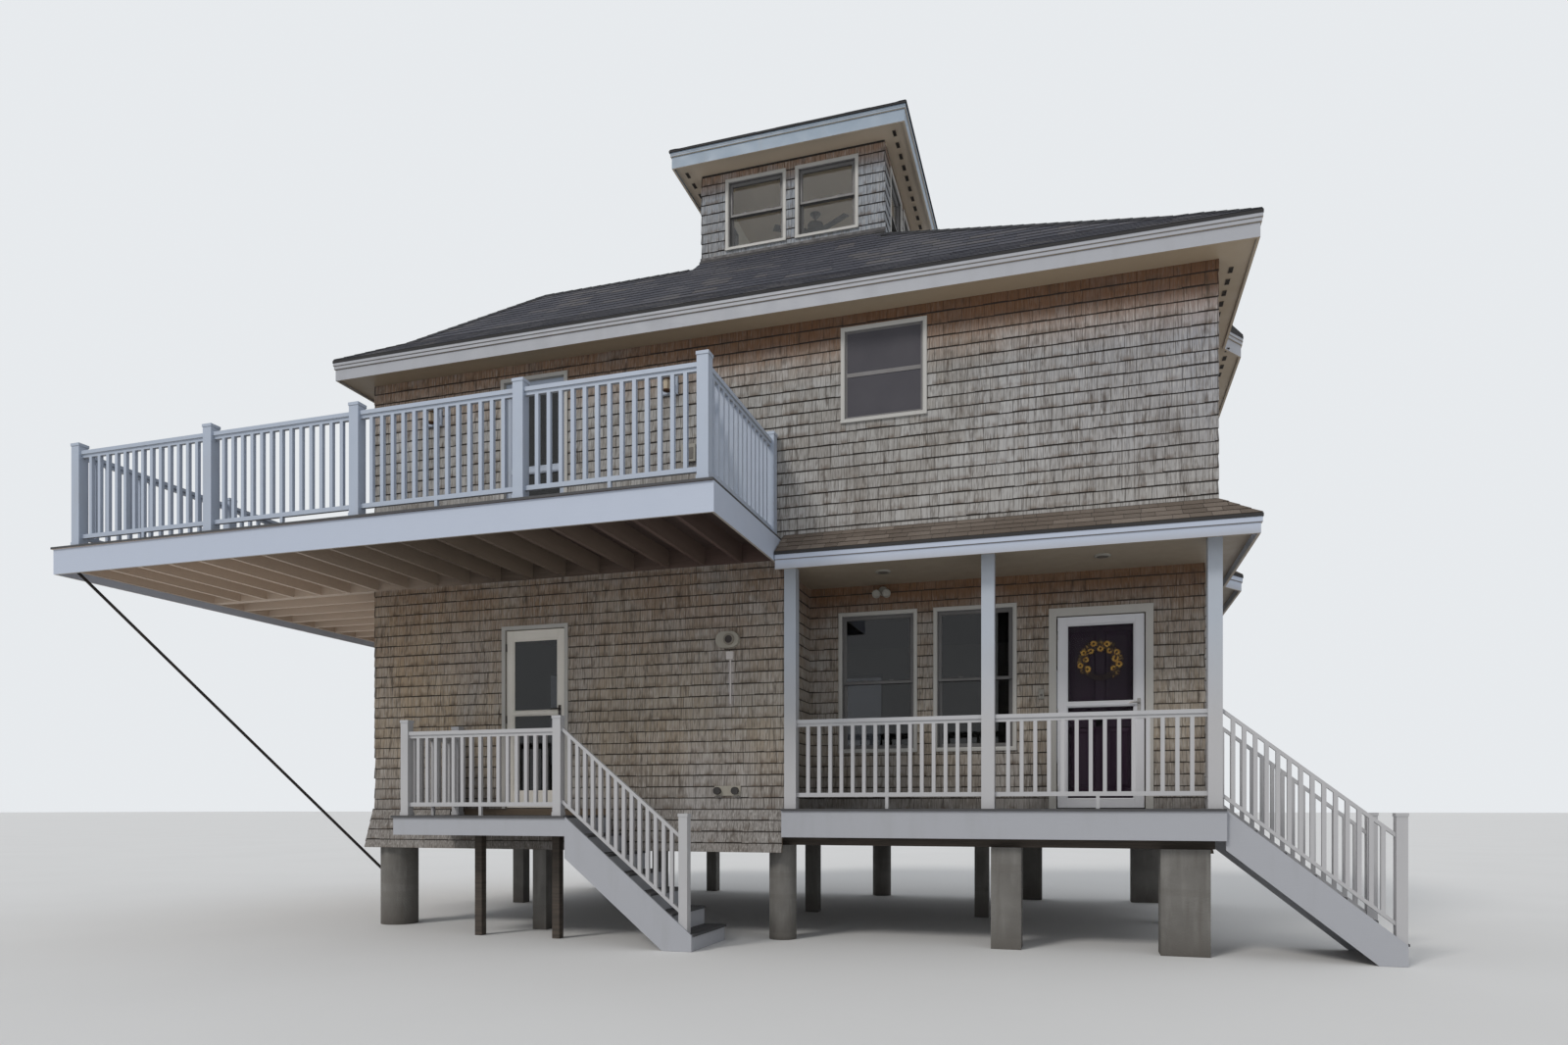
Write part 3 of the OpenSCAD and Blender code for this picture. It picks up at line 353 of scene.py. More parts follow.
def mesh_piece(name, verts, faces, material, body="root", smooth=None, lay=None):
    """New piece from points and faces, with its material and the body it rides on.

    smooth is the angle in degrees under which edges are shaded soft. lay is a vector for each
    point, which the material can read."""
    mesh = bpy.data.meshes.new(name)
    mesh.from_pydata([tuple(v) for v in verts], [], faces)
    if lay is None:
        work = bmesh.new()
        work.from_mesh(mesh)
        bmesh.ops.recalc_face_normals(work, faces=work.faces)
        work.to_mesh(mesh)
        work.free()
    else:
        spots = mesh.attributes.new("lay", "FLOAT_VECTOR", "POINT")
        spots.data.foreach_set("vector", [value for spot in lay for value in spot])
    mesh.update()
    if smooth is not None:
        mesh.shade_smooth()
        mesh.set_sharp_from_angle(angle=math.radians(smooth))
    piece = bpy.data.objects.new(name, mesh)
    bpy.context.scene.collection.objects.link(piece)
    mesh.materials.append(material)
    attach(piece, body)
    return piece


def clip(points, inside):
    """Part of a flat outline on the inner side of a line, given by a signed distance."""
    kept = []
    for i, b in enumerate(points):
        a = points[i - 1]
        da, db = inside(a), inside(b)
        if (da >= 0.0) != (db >= 0.0):
            t = da / (da - db)
            kept.append((a[0] + t * (b[0] - a[0]), a[1] + t * (b[1] - a[1])))
        if db >= 0.0:
            kept.append(b)
    return kept


def area(points):
    return 0.5 * sum(a[0] * b[1] - b[0] * a[1] for a, b in zip(points[-1:] + points[:-1], points))


def cut_out(rect, holes):
    """The rectangles that are left of one rectangle round a list of rectangular holes."""
    left = [rect]
    for u0, v0, u1, v1 in holes:
        rest = []
        for a, b, c, d in left:
            if a >= u1 or c <= u0 or b >= v1 or d <= v0:
                rest.append((a, b, c, d))
                continue
            if a < u0:
                rest.append((a, b, u0, d))
            if c > u1:
                rest.append((u1, b, c, d))
            if b < v0:
                rest.append((max(a, u0), b, min(c, u1), v0))
            if d > v1:
                rest.append((max(a, u0), v1, min(c, u1), d))
        left = rest
    return left


def lay_courses(name, faces, material, course, widths, butt, tip, seed,
                gap=0.003, uneven=0.0, lap=0.006, start=0.0):
    """Wedge-shaped shingles in level courses over flat faces.

    Each face is (corners, holes, weave): its corners anticlockwise from outside, holes as pairs
    of opposite corners, and for each end 0, 1 or None: the courses that run on past the corner.
    Every point keeps how far it is up its course and across its shingle, and 1 on the face."""
    draw = random.Random(seed)
    verts, polygons, lay = [], [], []
    for corners, holes, weave in faces:
        corners = [at(*p) for p in corners]
        normal = Vector((0.0, 0.0, 0.0))
        for a, b in zip(corners[-1:] + corners[:-1], corners):
            normal += a.cross(b)
        normal.normalize()
        up = Vector((0.0, 0.0, 1.0)) - normal * normal.z
        up = up.normalized() if up.length > 1e-3 else Vector((0.0, 1.0, 0.0))
        along = up.cross(normal)
        flat = [(p.dot(along), p.dot(up)) for p in corners]
        level = corners[0].dot(normal)
        lower = min(v for _, v in flat) + start
        upper = max(v for _, v in flat)
        first = min(u for u, _ in flat)
        last = max(u for u, _ in flat)
        sides = []
        for a, b in zip(flat[-1:] + flat[:-1], flat):
            n = Vector((a[1] - b[1], b[0] - a[0]))
            if n.length > 1e-9:
                n.normalize()
                sides.append((n.x, n.y, n.x * a[0] + n.y * a[1]))
        cuts = []
        for low, high in holes:
            p, q = at(*low), at(*high)
            us = sorted((p.dot(along), q.dot(along)))
            vs = sorted((p.dot(up), q.dot(up)))
            cuts.append((us[0], vs[0], us[1], vs[1]))
        base = at(0.0, 0.0, FLOOR).dot(up) if weave != "own" else lower
        k = math.floor((lower - base) / course)
        while base + k * course < upper:
            v = base + k * course
            reach = [butt if weave not in (None, "own") and weave[end] == k % 2 else 0.0
                     for end in (0, 1)]
            u = first - draw.uniform(0.0, widths[1])
            while u < last + 0.02:
                width = draw.uniform(*widths)
                low_v = max(v + draw.uniform(-uneven, uneven), lower)
                high_v = min(v + course + lap, upper)
                thick = butt * draw.uniform(0.85, 1.15)
                if high_v > low_v + LEAST_RISE:
                    for a, b, c, d in cut_out((u + gap / 2, low_v, u + width - gap / 2, high_v), cuts):
                        outline = [(a, b), (c, b), (c, d), (a, d)]
                        for x, y, w in sides:
                            allow = 0.0
                            if abs(y) < 0.01:
                                allow = reach[0] if x > 0 else reach[1]
                            outline = clip(outline, lambda p: p[0] * x + p[1] * y - w + allow)
                            if len(outline) < 3:
                                break
                        if len(outline) < 3 or area(outline) < LEAST_AREA:
                            continue
                        count = len(outline)
                        begin = len(verts)
                        for face in (1.0, 0.0):
                            for s, t in outline:
                                rise = min(1.0, max(0.0, (t - v) / course))
                                lift = thick + (tip - thick) * rise if face else -0.001
                                verts.append(along * s + up * t + normal * (level + lift))
                                lay.append((rise, (s - u) / width, face))
                        polygons.append(list(range(begin, begin + count)))
                        for i in range(count):
                            j = (i + 1) % count
                            if outline[i][1] > high_v - 1e-4 and outline[j][1] > high_v - 1e-4:
                                continue
                            polygons.append([begin + i, begin + count + i, begin + count + j, begin + j])
                u += width
            k += 1
    mesh_piece(name, verts, polygons, material, lay=lay)


def paint_course_shadows(finish, color, line, edge, strength):
    """Paints shadow where a shingle passes under the next course, in the gaps at its sides and on its butt.
    """
    under = finish.spread(finish.lay(0), line, min(1.0, line + 0.05))
    across = finish.lay(1)
    sides = finish.math(finish.spread(across, edge, 0.0), finish.spread(across, 1.0 - edge, 1.0), "MAXIMUM")
    behind = finish.spread(finish.lay(2), 0.98, 0.4)
    mask = finish.math(finish.math(under, finish.math(sides, 0.7), "MAXIMUM"), behind, "MAXIMUM")
    finish.tint(color, mask, strength)


cedar = Finish("weathered_cedar", (0.31, 0.292, 0.268), 0.88)
cedar.tones((0.0, (0.235, 0.222, 0.205)), (0.3, (0.295, 0.285, 0.268)),
            (0.65, (0.345, 0.338, 0.325)), (1.0, (0.400, 0.394, 0.384)))
front_side = cedar.band(1, ORIGIN.y + 1.3, ORIGIN.y + 1.2)
left_side = cedar.band(0, ORIGIN.x - HALF + 0.3, ORIGIN.x - HALF + 0.1)
under_decks = cedar.math(front_side, left_side, "MAXIMUM")

# Colour by place: bluish grey at the upper right and on the cupola, a paler band on the front above
# the pent roof as painted sunlight, warm tan under the balcony, partly sheltered wood and partly
# painted shade, and dark at the foot, with patches that rain has washed.
upper_right = cedar.math(cedar.band(0, 2.5, 5.2), cedar.band(2, 4.4, 5.0))
cedar.tint((0.305, 0.310, 0.345), upper_right, 0.7)
# Painted sunlight: a paler band on the front above the pent roof.
cedar.tint((0.43, 0.415, 0.40), cedar.math(cedar.zone(2, 4.3, 4.4, 4.7, 6.0), front_side), 0.5)
# Warm tan under the balcony: partly sheltered wood, partly painted shade.
cedar.tint((0.430, 0.308, 0.172), cedar.math(cedar.band(2, 4.3, 1.9), under_decks), 0.5)
low_left = cedar.math(cedar.zone(2, 1.7, 2.8, 3.9, 4.3), cedar.band(0, 0.6, -4.0))
cedar.tint((0.60, 0.44, 0.27), cedar.math(low_left, front_side), 0.55)
cedar.tint((0.275, 0.308, 0.355), cedar.band(2, 7.5, 8.5), 0.8)
cedar.tint((0.200, 0.195, 0.195), cedar.band(2, 2.3, 1.45), 0.8)
washed = cedar.math(cedar.noise((1.5, 1.5, 0.45), 0.48, 0.66, 3.0), cedar.band(2, 4.2, 3.2))
cedar.tint((0.40, 0.385, 0.375), washed, 0.6)
cedar.tint((0.135, 0.108, 0.082), cedar.noise((1.3, 1.3, 0.9), 0.5, 0.72, 3.0), 0.4)

# Brown and unfaded where the eaves and the porch keep the rain off, darker brown just under the eaves
# and the pent roof as painted shadow, and split grain over all.
shelter = cedar.math(cedar.zone(2, 6.05, 6.62, 7.0, 7.2), cedar.band(2, 9.50, 9.75), "MAXIMUM")
cedar.tint((0.300, 0.165, 0.085), cedar.math(shelter, cedar.noise((2.5, 2.5, 3.0), 0.15, 0.45)), 0.8)
porch_shelter = cedar.math(cedar.zone(2, 2.7, 4.0, 4.15, 4.25), cedar.noise((2.0, 2.0, 3.0), 0.2, 0.55))
cedar.tint((0.25, 0.145, 0.075), cedar.math(porch_shelter, under_decks), 0.7)
cedar.tint((0.085, 0.068, 0.052), cedar.noise((70.0, 70.0, 2.0), 0.47, 0.66, 3.0), 0.58)
cedar.tint((0.56, 0.54, 0.51), cedar.noise((95.0, 95.0, 2.0), 0.50, 0.70, 2.0), 0.45)
# Painted shadow of the eaves: dark brown just under them.
eave_painted_shadow = cedar.math(cedar.zone(2, 6.32, 6.56, 7.0, 7.2), cedar.band(0, -3.0, 1.0))
cedar.tint((0.125, 0.050, 0.016), eave_painted_shadow, 0.74)
# Painted shadow of the pent roof: dark brown just under it.
pent_painted_shadow = cedar.math(cedar.zone(2, 3.60, 3.95, 4.15, 4.25), cedar.band(0, 0.95, 1.05))
cedar.tint((0.150, 0.062, 0.018), cedar.math(pent_painted_shadow, front_side), 0.72)
cedar.tint((0.060, 0.042, 0.030), cedar.noise((16.0, 16.0, 4.0), 0.60, 0.74, 4.0), 0.7)

# A pale run below the vent hood, and butts that stay wet.
RUN_X, RUN_HALF, RUN_FULL = ORIGIN.x - 0.12, 0.04, 0.03
runoff = cedar.math(cedar.zone(0, RUN_X - RUN_HALF, RUN_X - RUN_FULL, RUN_X + RUN_FULL, RUN_X + RUN_HALF),
                    cedar.zone(2, 2.45, 2.75, 3.1, 3.2))
cedar.tint((0.56, 0.52, 0.51), cedar.math(runoff, cedar.band(1, ORIGIN.y + 1.0, ORIGIN.y + 0.5)), 0.55)
wet_butts = cedar.math(cedar.spread(cedar.lay(0), 0.40, 0.0), cedar.noise((9.0, 9.0, 7.0), 0.48, 0.62))
cedar.tint((0.105, 0.068, 0.042), wet_butts, 0.65)
# Painted shadow under each butt and in the gaps between shingles.
paint_course_shadows(cedar, (0.026, 0.020, 0.016), 0.84, 0.022, 0.94)
cedar.bump(cedar.noise((140.0, 140.0, 5.0), 0.3, 0.7, 3.0), 0.0022, 0.8)
cedar.rough(cedar.noise(8.0), 0.8, 0.95)
cedar_shingles = cedar.done()


def round_cupola(turn, x, y):
    """Plan point given from the cupola's middle, turned with one of its four sides."""
    p = Matrix.Rotation(math.radians(turn), 3, "Z") @ Vector((x, y, 0.0))
    return CUPOLA_X + p.x, CUPOLA_Y + p.y


# Places of the windows as (x, y, middle height, turn, width, height)
LOW_MID, UP_MID, CUPOLA_MID = 2.941, 6.110, 9.260
LOW_SIZE, UP_SIZE, CUPOLA_SIZE = (0.86, 1.584), (0.85, 0.95), (0.754, 0.858)
WINDOWS = [(1.328, PORCH_D, LOW_MID, 0, *LOW_SIZE), (2.455, PORCH_D, LOW_MID, 0, *LOW_SIZE),
           (1.605, 0.0, UP_MID, 0, *UP_SIZE)]
for mid, size in ((LOW_MID, LOW_SIZE), (UP_MID, UP_SIZE)):
    WINDOWS += [(-HALF, y, mid, -90, *size) for y in (1.7, 4.4)]
    WINDOWS += [(HALF + BAY_OUT, y, mid, 90, *size) for y in (3.0, 4.32)]
    WINDOWS += [(x, DEPTH, mid, 180, *size) for x in (-3.0, 0.0, 3.0)]
for turn in (0, 90, 180, 270):
    for offset in (-0.478, 0.478):
        WINDOWS.append((*round_cupola(turn, offset, -CUPOLA_R), CUPOLA_MID, turn, *CUPOLA_SIZE))


def window_hole(x, y, z, turn, width, height):
    """Corners of the casing and sill of a window, as a hole in the shingles."""
    trim = 0.04
    half, rise = width / 2 + trim, height / 2 + trim
    along = Matrix.Rotation(math.radians(turn), 3, "Z") @ Vector((half, 0.0, 0.0))
    return ((x - along.x, y - along.y, z - rise), (x + along.x, y + along.y, z + rise))


def holes_at(turn, test):
    return [window_hole(*w) for w in WINDOWS if w[3] == turn and test(w)]


def wall(x0, y0, x1, y1, z0, z1, holes=(), weave=(None, None)):
    """Upright face from one plan point to the next, with its outer side on the right hand."""
    return ([(x0, y0, z0), (x1, y1, z0), (x1, y1, z1), (x0, y0, z1)], list(holes), weave)


def lay_cedar(name, faces, widths, seed, uneven=0.004):
    lay_courses(name, faces, cedar_shingles, COURSE, widths, BUTT, TIP, seed, uneven=uneven)


PORCH_CEILING, LOW_TOP, HIGH_FOOT, PENT_TOP = 4.08, 4.36, 4.405, 4.45
BALCONY_DOOR_HOLE = ((-3.061, 0, 4.3), (-2.161, 0, 6.605))
SIDE_DOOR_HOLE = ((-3.045, 0, FLOOR), (-2.155, 0, 3.635))
FRONT_DOOR_HOLE = ((3.275, PORCH_D, FLOOR), (4.369, PORCH_D, 3.68))
PENT_HOLE = ((PORCH_X, 0, 4.3), (HALF, 0, PENT_TOP))
walls = [
    wall(-HALF, 0, HALF, 0, HIGH_FOOT, SOFFIT,
         holes_at(0, lambda w: w[1] == 0.0) + [BALCONY_DOOR_HOLE, PENT_HOLE], (0, 1)),
    wall(-HALF, 0, PORCH_X, 0, FLOOR, LOW_TOP, [SIDE_DOOR_HOLE], (0, 1)),
    wall(PORCH_X, 0.0, PORCH_X, PORCH_D, FLOOR, PORCH_CEILING),
    wall(PORCH_X, PORCH_D, HALF, PORCH_D, FLOOR, PORCH_CEILING,
         holes_at(0, lambda w: w[1] == PORCH_D) + [FRONT_DOOR_HOLE], (None, 1)),
    wall(-HALF, DEPTH, -HALF, 0, FLOOR, LOW_TOP, holes_at(-90, lambda w: w[2] == LOW_MID), (0, 1)),
    wall(-HALF, DEPTH, -HALF, 0, HIGH_FOOT, SOFFIT, holes_at(-90, lambda w: w[2] == UP_MID), (0, 1)),
    wall(HALF, DEPTH, -HALF, DEPTH, FLOOR, SOFFIT, holes_at(180, lambda w: w[1] == DEPTH), (0, 1)),
]
right_path = [(HALF, 0.0)] + BAY + [(HALF, DEPTH)]
low_path = [(HALF, PORCH_D)] + BAY + [(HALF, DEPTH)]
for z0, z1, path, mid in ((FLOOR, PORCH_CEILING, low_path, LOW_MID),
                          (PENT_TOP + 0.005, SOFFIT, right_path, UP_MID)):
    for i, (a, b) in enumerate(zip(path, path[1:])):
        holes = [window_hole(*w) for w in WINDOWS if w[3] == 90 and w[2] == mid] if i == 2 else []
        weave = (0 if i == 0 else None, 1 if i == 4 else None)
        walls.append(wall(*a, *b, z0, z1, holes, weave))
lay_cedar("wall_shingles", walls, (0.075, 0.17), 11)

# Skirt
# The lowest shingles flare out over the edge of the floor and hang below it. They are laid on
# the sloping sides of the CAD skirt, with mitred corners.
skirt_path = low_path + [(-HALF, DEPTH), (-HALF, 0.0), (PORCH_X, 0.0)]
SKIRT_TOP, SKIRT_LOW, SKIRT_OUT_TOP, SKIRT_OUT_LOW = 1.45, 0.97, 0.018, 0.09
LANDING_HOLE = ((-3.764, -0.09, 1.145), (-1.594, -0.018, 1.46))


def outward(path, i, out):
    """Corner i of a path moved outward with a mitre."""
    def side(a, b):
        d = (Vector(b) - Vector(a)).normalized()
        return Vector((d.y, -d.x))
    before = side(path[i - 1], path[i]) if i > 0 else None
    after = side(path[i], path[i + 1]) if i < len(path) - 1 else None
    if before is None or after is None:
        return Vector(path[i]) + out * (after or before)
    return Vector(path[i]) + out * (before + after) / (1.0 + before.dot(after))


def sloped_faces(path, out_top, z_top, out_low, z_low):
    faces = []
    for i in range(len(path) - 1):
        a, b = outward(path, i, out_low), outward(path, i + 1, out_low)
        c, d = outward(path, i + 1, out_top), outward(path, i, out_top)
        faces.append(([(*a, z_low), (*b, z_low), (*c, z_top), (*d, z_top)], [], (None, None)))
    return faces


skirt = sloped_faces(skirt_path, SKIRT_OUT_TOP, SKIRT_TOP, SKIRT_OUT_LOW, SKIRT_LOW)
skirt[-1][1].append(LANDING_HOLE)
lay_cedar("skirt_shingles", skirt, (0.085, 0.2), 12)

# Cupola shingles
# The cupola is clad in the same cedar, nailed to its boarding. On each side the courses start at
# the height where the roof meets it.
CUPOLA_SOFFIT = 9.813
cupola_walls = []
cupola_low = {0: 8.70, 90: 8.58, 180: 8.70, 270: 8.44}
for turn in (0, 90, 180, 270):
    left, right = round_cupola(turn, -CUPOLA_R, -CUPOLA_R), round_cupola(turn, CUPOLA_R, -CUPOLA_R)
    holes = [window_hole(*w) for w in WINDOWS if w[2] == CUPOLA_MID and w[3] == turn]
    cupola_walls.append(wall(*left, *right, cupola_low[turn], CUPOLA_SOFFIT, holes, (0, 1)))
lay_cedar("cupola_shingles", cupola_walls, (0.085, 0.17), 13, uneven=0.003)

# Roof shingles
# Mineral-faced strip shingles in a charcoal blend, laid in 5 5/8 inch courses on every plane of
# the bell-cast hip roof and on the cupola, with bent caps over the hips.
EAVE, FLARE_RUN, FLARE_SLOPE, PITCH = 0.35, 0.61, 0.667, 0.842
LEFT, RIGHT, FRONT, BACK = -HALF - EAVE, HALF + EAVE, -EAVE, DEPTH + EAVE

# Heights: the eave's edge, the top of the flare, the small flat left of the cupola, and where
# the roof meets the cupola's front and its right side.
EAVE_Z, FLARE_Z, FLAT_Z, DECK_Z, SIDE_Z = 6.98, 7.38687, 8.44, 8.701, 8.58
CUPOLA_LEFT, CUPOLA_RIGHT, CUPOLA_FRONT = -1.198, 1.268, 1.821
FLARE_X, FLARE_Y = LEFT + FLARE_RUN, FRONT + FLARE_RUN
FLAT_RUN = (FLAT_Z - FLARE_Z) / PITCH
RIGHT_FLARE = 0.46
Z_RIGHT = EAVE_Z + FLARE_SLOPE * RIGHT_FLARE
RIGHT_SLOPE = (SIDE_Z - Z_RIGHT) / (RIGHT - RIGHT_FLARE - CUPOLA_RIGHT)
HIP_X = RIGHT - RIGHT_FLARE - (FLARE_Z - Z_RIGHT) / RIGHT_SLOPE
STEP_Y = FLARE_Y + (SIDE_Z - FLARE_Z) / PITCH
HIP_AT_FLAT = HIP_X - (FLAT_Z - FLARE_Z) / RIGHT_SLOPE
FLAT_X, FLAT_Y = FLARE_X + FLAT_RUN, FLARE_Y + FLAT_RUN
BAY_ROOF = [(5.437, 2.233, 6.98), (5.437, 5.087, 6.98), (5.221, 5.375, 7.06), (4.964, 5.316, 7.1555),
            (4.964, 2.004, 7.1555), (5.221, 1.945, 7.06)]


def turned_back(p):
    """The same point on the back half of the roof."""
    return (p[0], DEPTH - p[1], p[2])


def front_face(points):
    """Roof face of the front, and the same one turned over to the back."""
    return [points, [turned_back(p) for p in reversed(points)]]


corner = (RIGHT - RIGHT_FLARE, FRONT + RIGHT_FLARE, Z_RIGHT)
left_low, right_high = (FLARE_X, FLARE_Y, FLARE_Z), (HIP_X, FLARE_Y, FLARE_Z)
left_high, right_flat = (FLAT_X, FLAT_Y, FLAT_Z), (HIP_AT_FLAT, FLAT_Y, FLAT_Z)
cupola_step, flat_end = (CUPOLA_RIGHT, STEP_Y, SIDE_Z), (CUPOLA_LEFT, FLAT_Y, FLAT_Z)
roof = front_face([(LEFT, FRONT, EAVE_Z), (RIGHT, FRONT, EAVE_Z), corner, right_high, left_low])
roof += front_face([left_low, right_high, right_flat, left_high])
roof += front_face([flat_end, right_flat, cupola_step,
                    (CUPOLA_RIGHT, CUPOLA_FRONT, DECK_Z), (CUPOLA_LEFT, CUPOLA_FRONT, DECK_Z)])
roof.append([(LEFT, BACK, EAVE_Z), (LEFT, FRONT, EAVE_Z), left_low, turned_back(left_low)])
roof.append([turned_back(left_low), left_low, left_high, turned_back(left_high)])
roof.append([left_high, flat_end, turned_back(flat_end), turned_back(left_high)])
roof.append([(RIGHT, FRONT, EAVE_Z), (RIGHT, BACK, EAVE_Z), turned_back(corner), corner])
roof.append([corner, turned_back(corner), turned_back(right_high), turned_back(cupola_step), cupola_step,
             right_high])
roof.append(BAY_ROOF)


def roofing(name, stops, light, dark):
    """Mineral-faced shingle: blended tones by shingle, light and dark grains, and painted shadow under each
    course's butts.
    """
    finish = Finish(name, stops[1][1], 0.92)
    finish.tones(*stops)
    finish.tint(light, finish.noise(300.0, 0.55, 0.7, 2.0), 0.35)
    finish.tint(dark, finish.noise(240.0, 0.55, 0.7, 2.0), 0.45)
    finish.tint(light, finish.noise(0.8, 0.45, 0.75, 3.0), 0.25)
    # Painted shadow under each butt and in the gaps.
    paint_course_shadows(finish, dark, 0.90, 0.012, 0.85)
    finish.bump(finish.noise(420.0, 0.3, 0.7, 2.0), 0.0015, 0.8)
    return finish.done()


felt = clouded("roof_felt", (0.030, 0.029, 0.030), 0.9, (0.045, 0.042, 0.040), (2.0, 0.4, 0.7))
felt.bump(felt.noise(200.0), 0.001, 0.5)
dress(felt.done(), "main_roof", "cupola_roof", "pent_roof")
charcoal = roofing("charcoal_roofing", [(0.0, (0.030, 0.032, 0.046)), (0.45, (0.050, 0.052, 0.070)),
                                        (0.8, (0.070, 0.070, 0.086)), (1.0, (0.096, 0.090, 0.094))],
                   (0.145, 0.142, 0.145), (0.010, 0.010, 0.013))
ROOF_COURSE, ROOF_BUTT, ROOF_TIP, EDGE_IN = 0.143, 0.008, 0.002, 0.008


def lay_roofing(name, faces, material, seed, course=ROOF_COURSE, widths=(0.15, 0.34)):
    lay_courses(name, [(points, [], "own") for points in faces], material, course, widths,
                ROOF_BUTT, ROOF_TIP, seed, gap=0.004, uneven=0.002, start=EDGE_IN)


lay_roofing("roof_shingles", roof, charcoal, 21)
CAP_R, CAP_LOW, CAP_SLOPE, STOP = 1.562, 10.033, 0.5, 0.03
cupola_faces = []
for turn in (0, 90, 180, 270):
    points = [(*round_cupola(turn, x, y), CAP_LOW + CAP_SLOPE * (CAP_R + y))
              for x, y in ((-CAP_R, -CAP_R), (CAP_R, -CAP_R), (STOP, -STOP), (-STOP, -STOP))]
    cupola_faces.append(points)
lay_roofing("cupola_roof_shingles", cupola_faces, charcoal, 22)


class Shape:
    """Points and faces of one piece, gathered part by part; put() says where the next ones go."""

    def __init__(self):
        self.verts, self.faces = [], []
        self.place = Matrix.Translation(ORIGIN)

    def put(self, x, y, z, turn=0.0):
        self.place = Matrix.Translation(at(x, y, z)) @ Matrix.Rotation(math.radians(turn), 4, "Z")

    def add(self, verts, faces):
        begin = len(self.verts)
        self.verts += [self.place @ Vector(v) for v in verts]
        self.faces += [[begin + i for i in face] for face in faces]

    def board(self, low, high, ease=0.0):
        """Board between two corners, with the edges of its top eased."""
        (x0, y0, z0), (x1, y1, z1) = low, high
        rings = [(0.0, z0), (0.0, z1 - ease), (ease, z1)] if ease else [(0.0, z0), (0.0, z1)]
        verts = []
        for e, z in rings:
            verts += [(x0 + e, y0 + e, z), (x1 - e, y0 + e, z), (x1 - e, y1 - e, z), (x0 + e, y1 - e, z)]
        faces = [(3, 2, 1, 0)]
        for b in range(0, 4 * len(rings) - 4, 4):
            faces += [(b + i, b + (i + 1) % 4, b + 4 + (i + 1) % 4, b + 4 + i) for i in range(4)]
        top = 4 * len(rings) - 4
        self.add(verts, faces + [(top, top + 1, top + 2, top + 3)])

    def ring(self, w, h, profile, x=0.0, z=0.0):
        """Upright frame with mitred corners; its profile is (in from the outer edge, depth)."""
        count = len(profile)
        verts = [(x + a * (w / 2 - d), y, z + b * (h / 2 - d))
                 for a, b in ((-1, -1), (1, -1), (1, 1), (-1, 1)) for d, y in profile]
        faces = [(c * count + i, (c + 1) % 4 * count + i, (c + 1) % 4 * count + (i + 1) % count,
                  c * count + (i + 1) % count) for c in range(4) for i in range(count)]
        self.add(verts, faces)

    def lathe(self, profile, sides=24, axis="Z"):
        """Turned form from (radius, distance along the axis) pairs."""
        verts, rows, faces = [], [], []
        for r, t in profile:
            count = sides if r > 1e-6 else 1
            rows.append(list(range(len(verts), len(verts) + count)))
            for i in range(count):
                a = 2.0 * math.pi * i / sides
                u, v = r * math.cos(a), r * math.sin(a)
                verts.append((u, v, t) if axis == "Z" else (u, t, v))
        for a, b in zip(rows, rows[1:]):
            for i in range(sides):
                j = (i + 1) % sides
                if len(a) > 1 and len(b) > 1:
                    faces.append((a[i], a[j], b[j], b[i]))
                elif len(b) > 1:
                    faces.append((a[0], b[j], b[i]))
                elif len(a) > 1:
                    faces.append((a[i], a[j], b[0]))
        self.add(verts, faces)

    def tube(self, points, radii, sides=8, closed=False):
        """Round bar along points, with a radius at each."""
        count = len(points)
        points = [Vector(p) for p in points]
        verts, faces = [], []
        for i, p in enumerate(points):
            back = points[i - 1] if i or closed else p
            ahead = points[(i + 1) % count] if i < count - 1 or closed else p
            d = (ahead - back).normalized()
            a = d.orthogonal() if abs(d.z) > 0.9 else d.cross(Vector((0.0, 0.0, 1.0)))
            a.normalize()
            b = d.cross(a)
            for k in range(sides):
                t = 2.0 * math.pi * k / sides
                verts.append(p + radii[i] * (a * math.cos(t) + b * math.sin(t)))
        for i in range(count if closed else count - 1):
            j = (i + 1) % count
            for k in range(sides):
                m = (k + 1) % sides
                faces.append((i * sides + k, i * sides + m, j * sides + m, j * sides + k))
        if not closed:
            faces += [tuple(range(sides - 1, -1, -1)), tuple(range((count - 1) * sides, count * sides))]
        self.add(verts, faces)

    def made(self, name, material, body="root", slot=None, smooth=None, edge=0.0):
        piece = mesh_piece(name, self.verts, self.faces, material, body, smooth)
        ease_edges(piece, edge)
        return piece

    def moved(self, matrix):
        """The same shape, with its place moved or turned within its own directions."""
        other = Shape()
        other.verts, other.faces = self.verts, self.faces
        other.place = self.place @ matrix
        return other

    def beside(self, x, y, z):
        return self.moved(Matrix.Translation((x, y, z)))


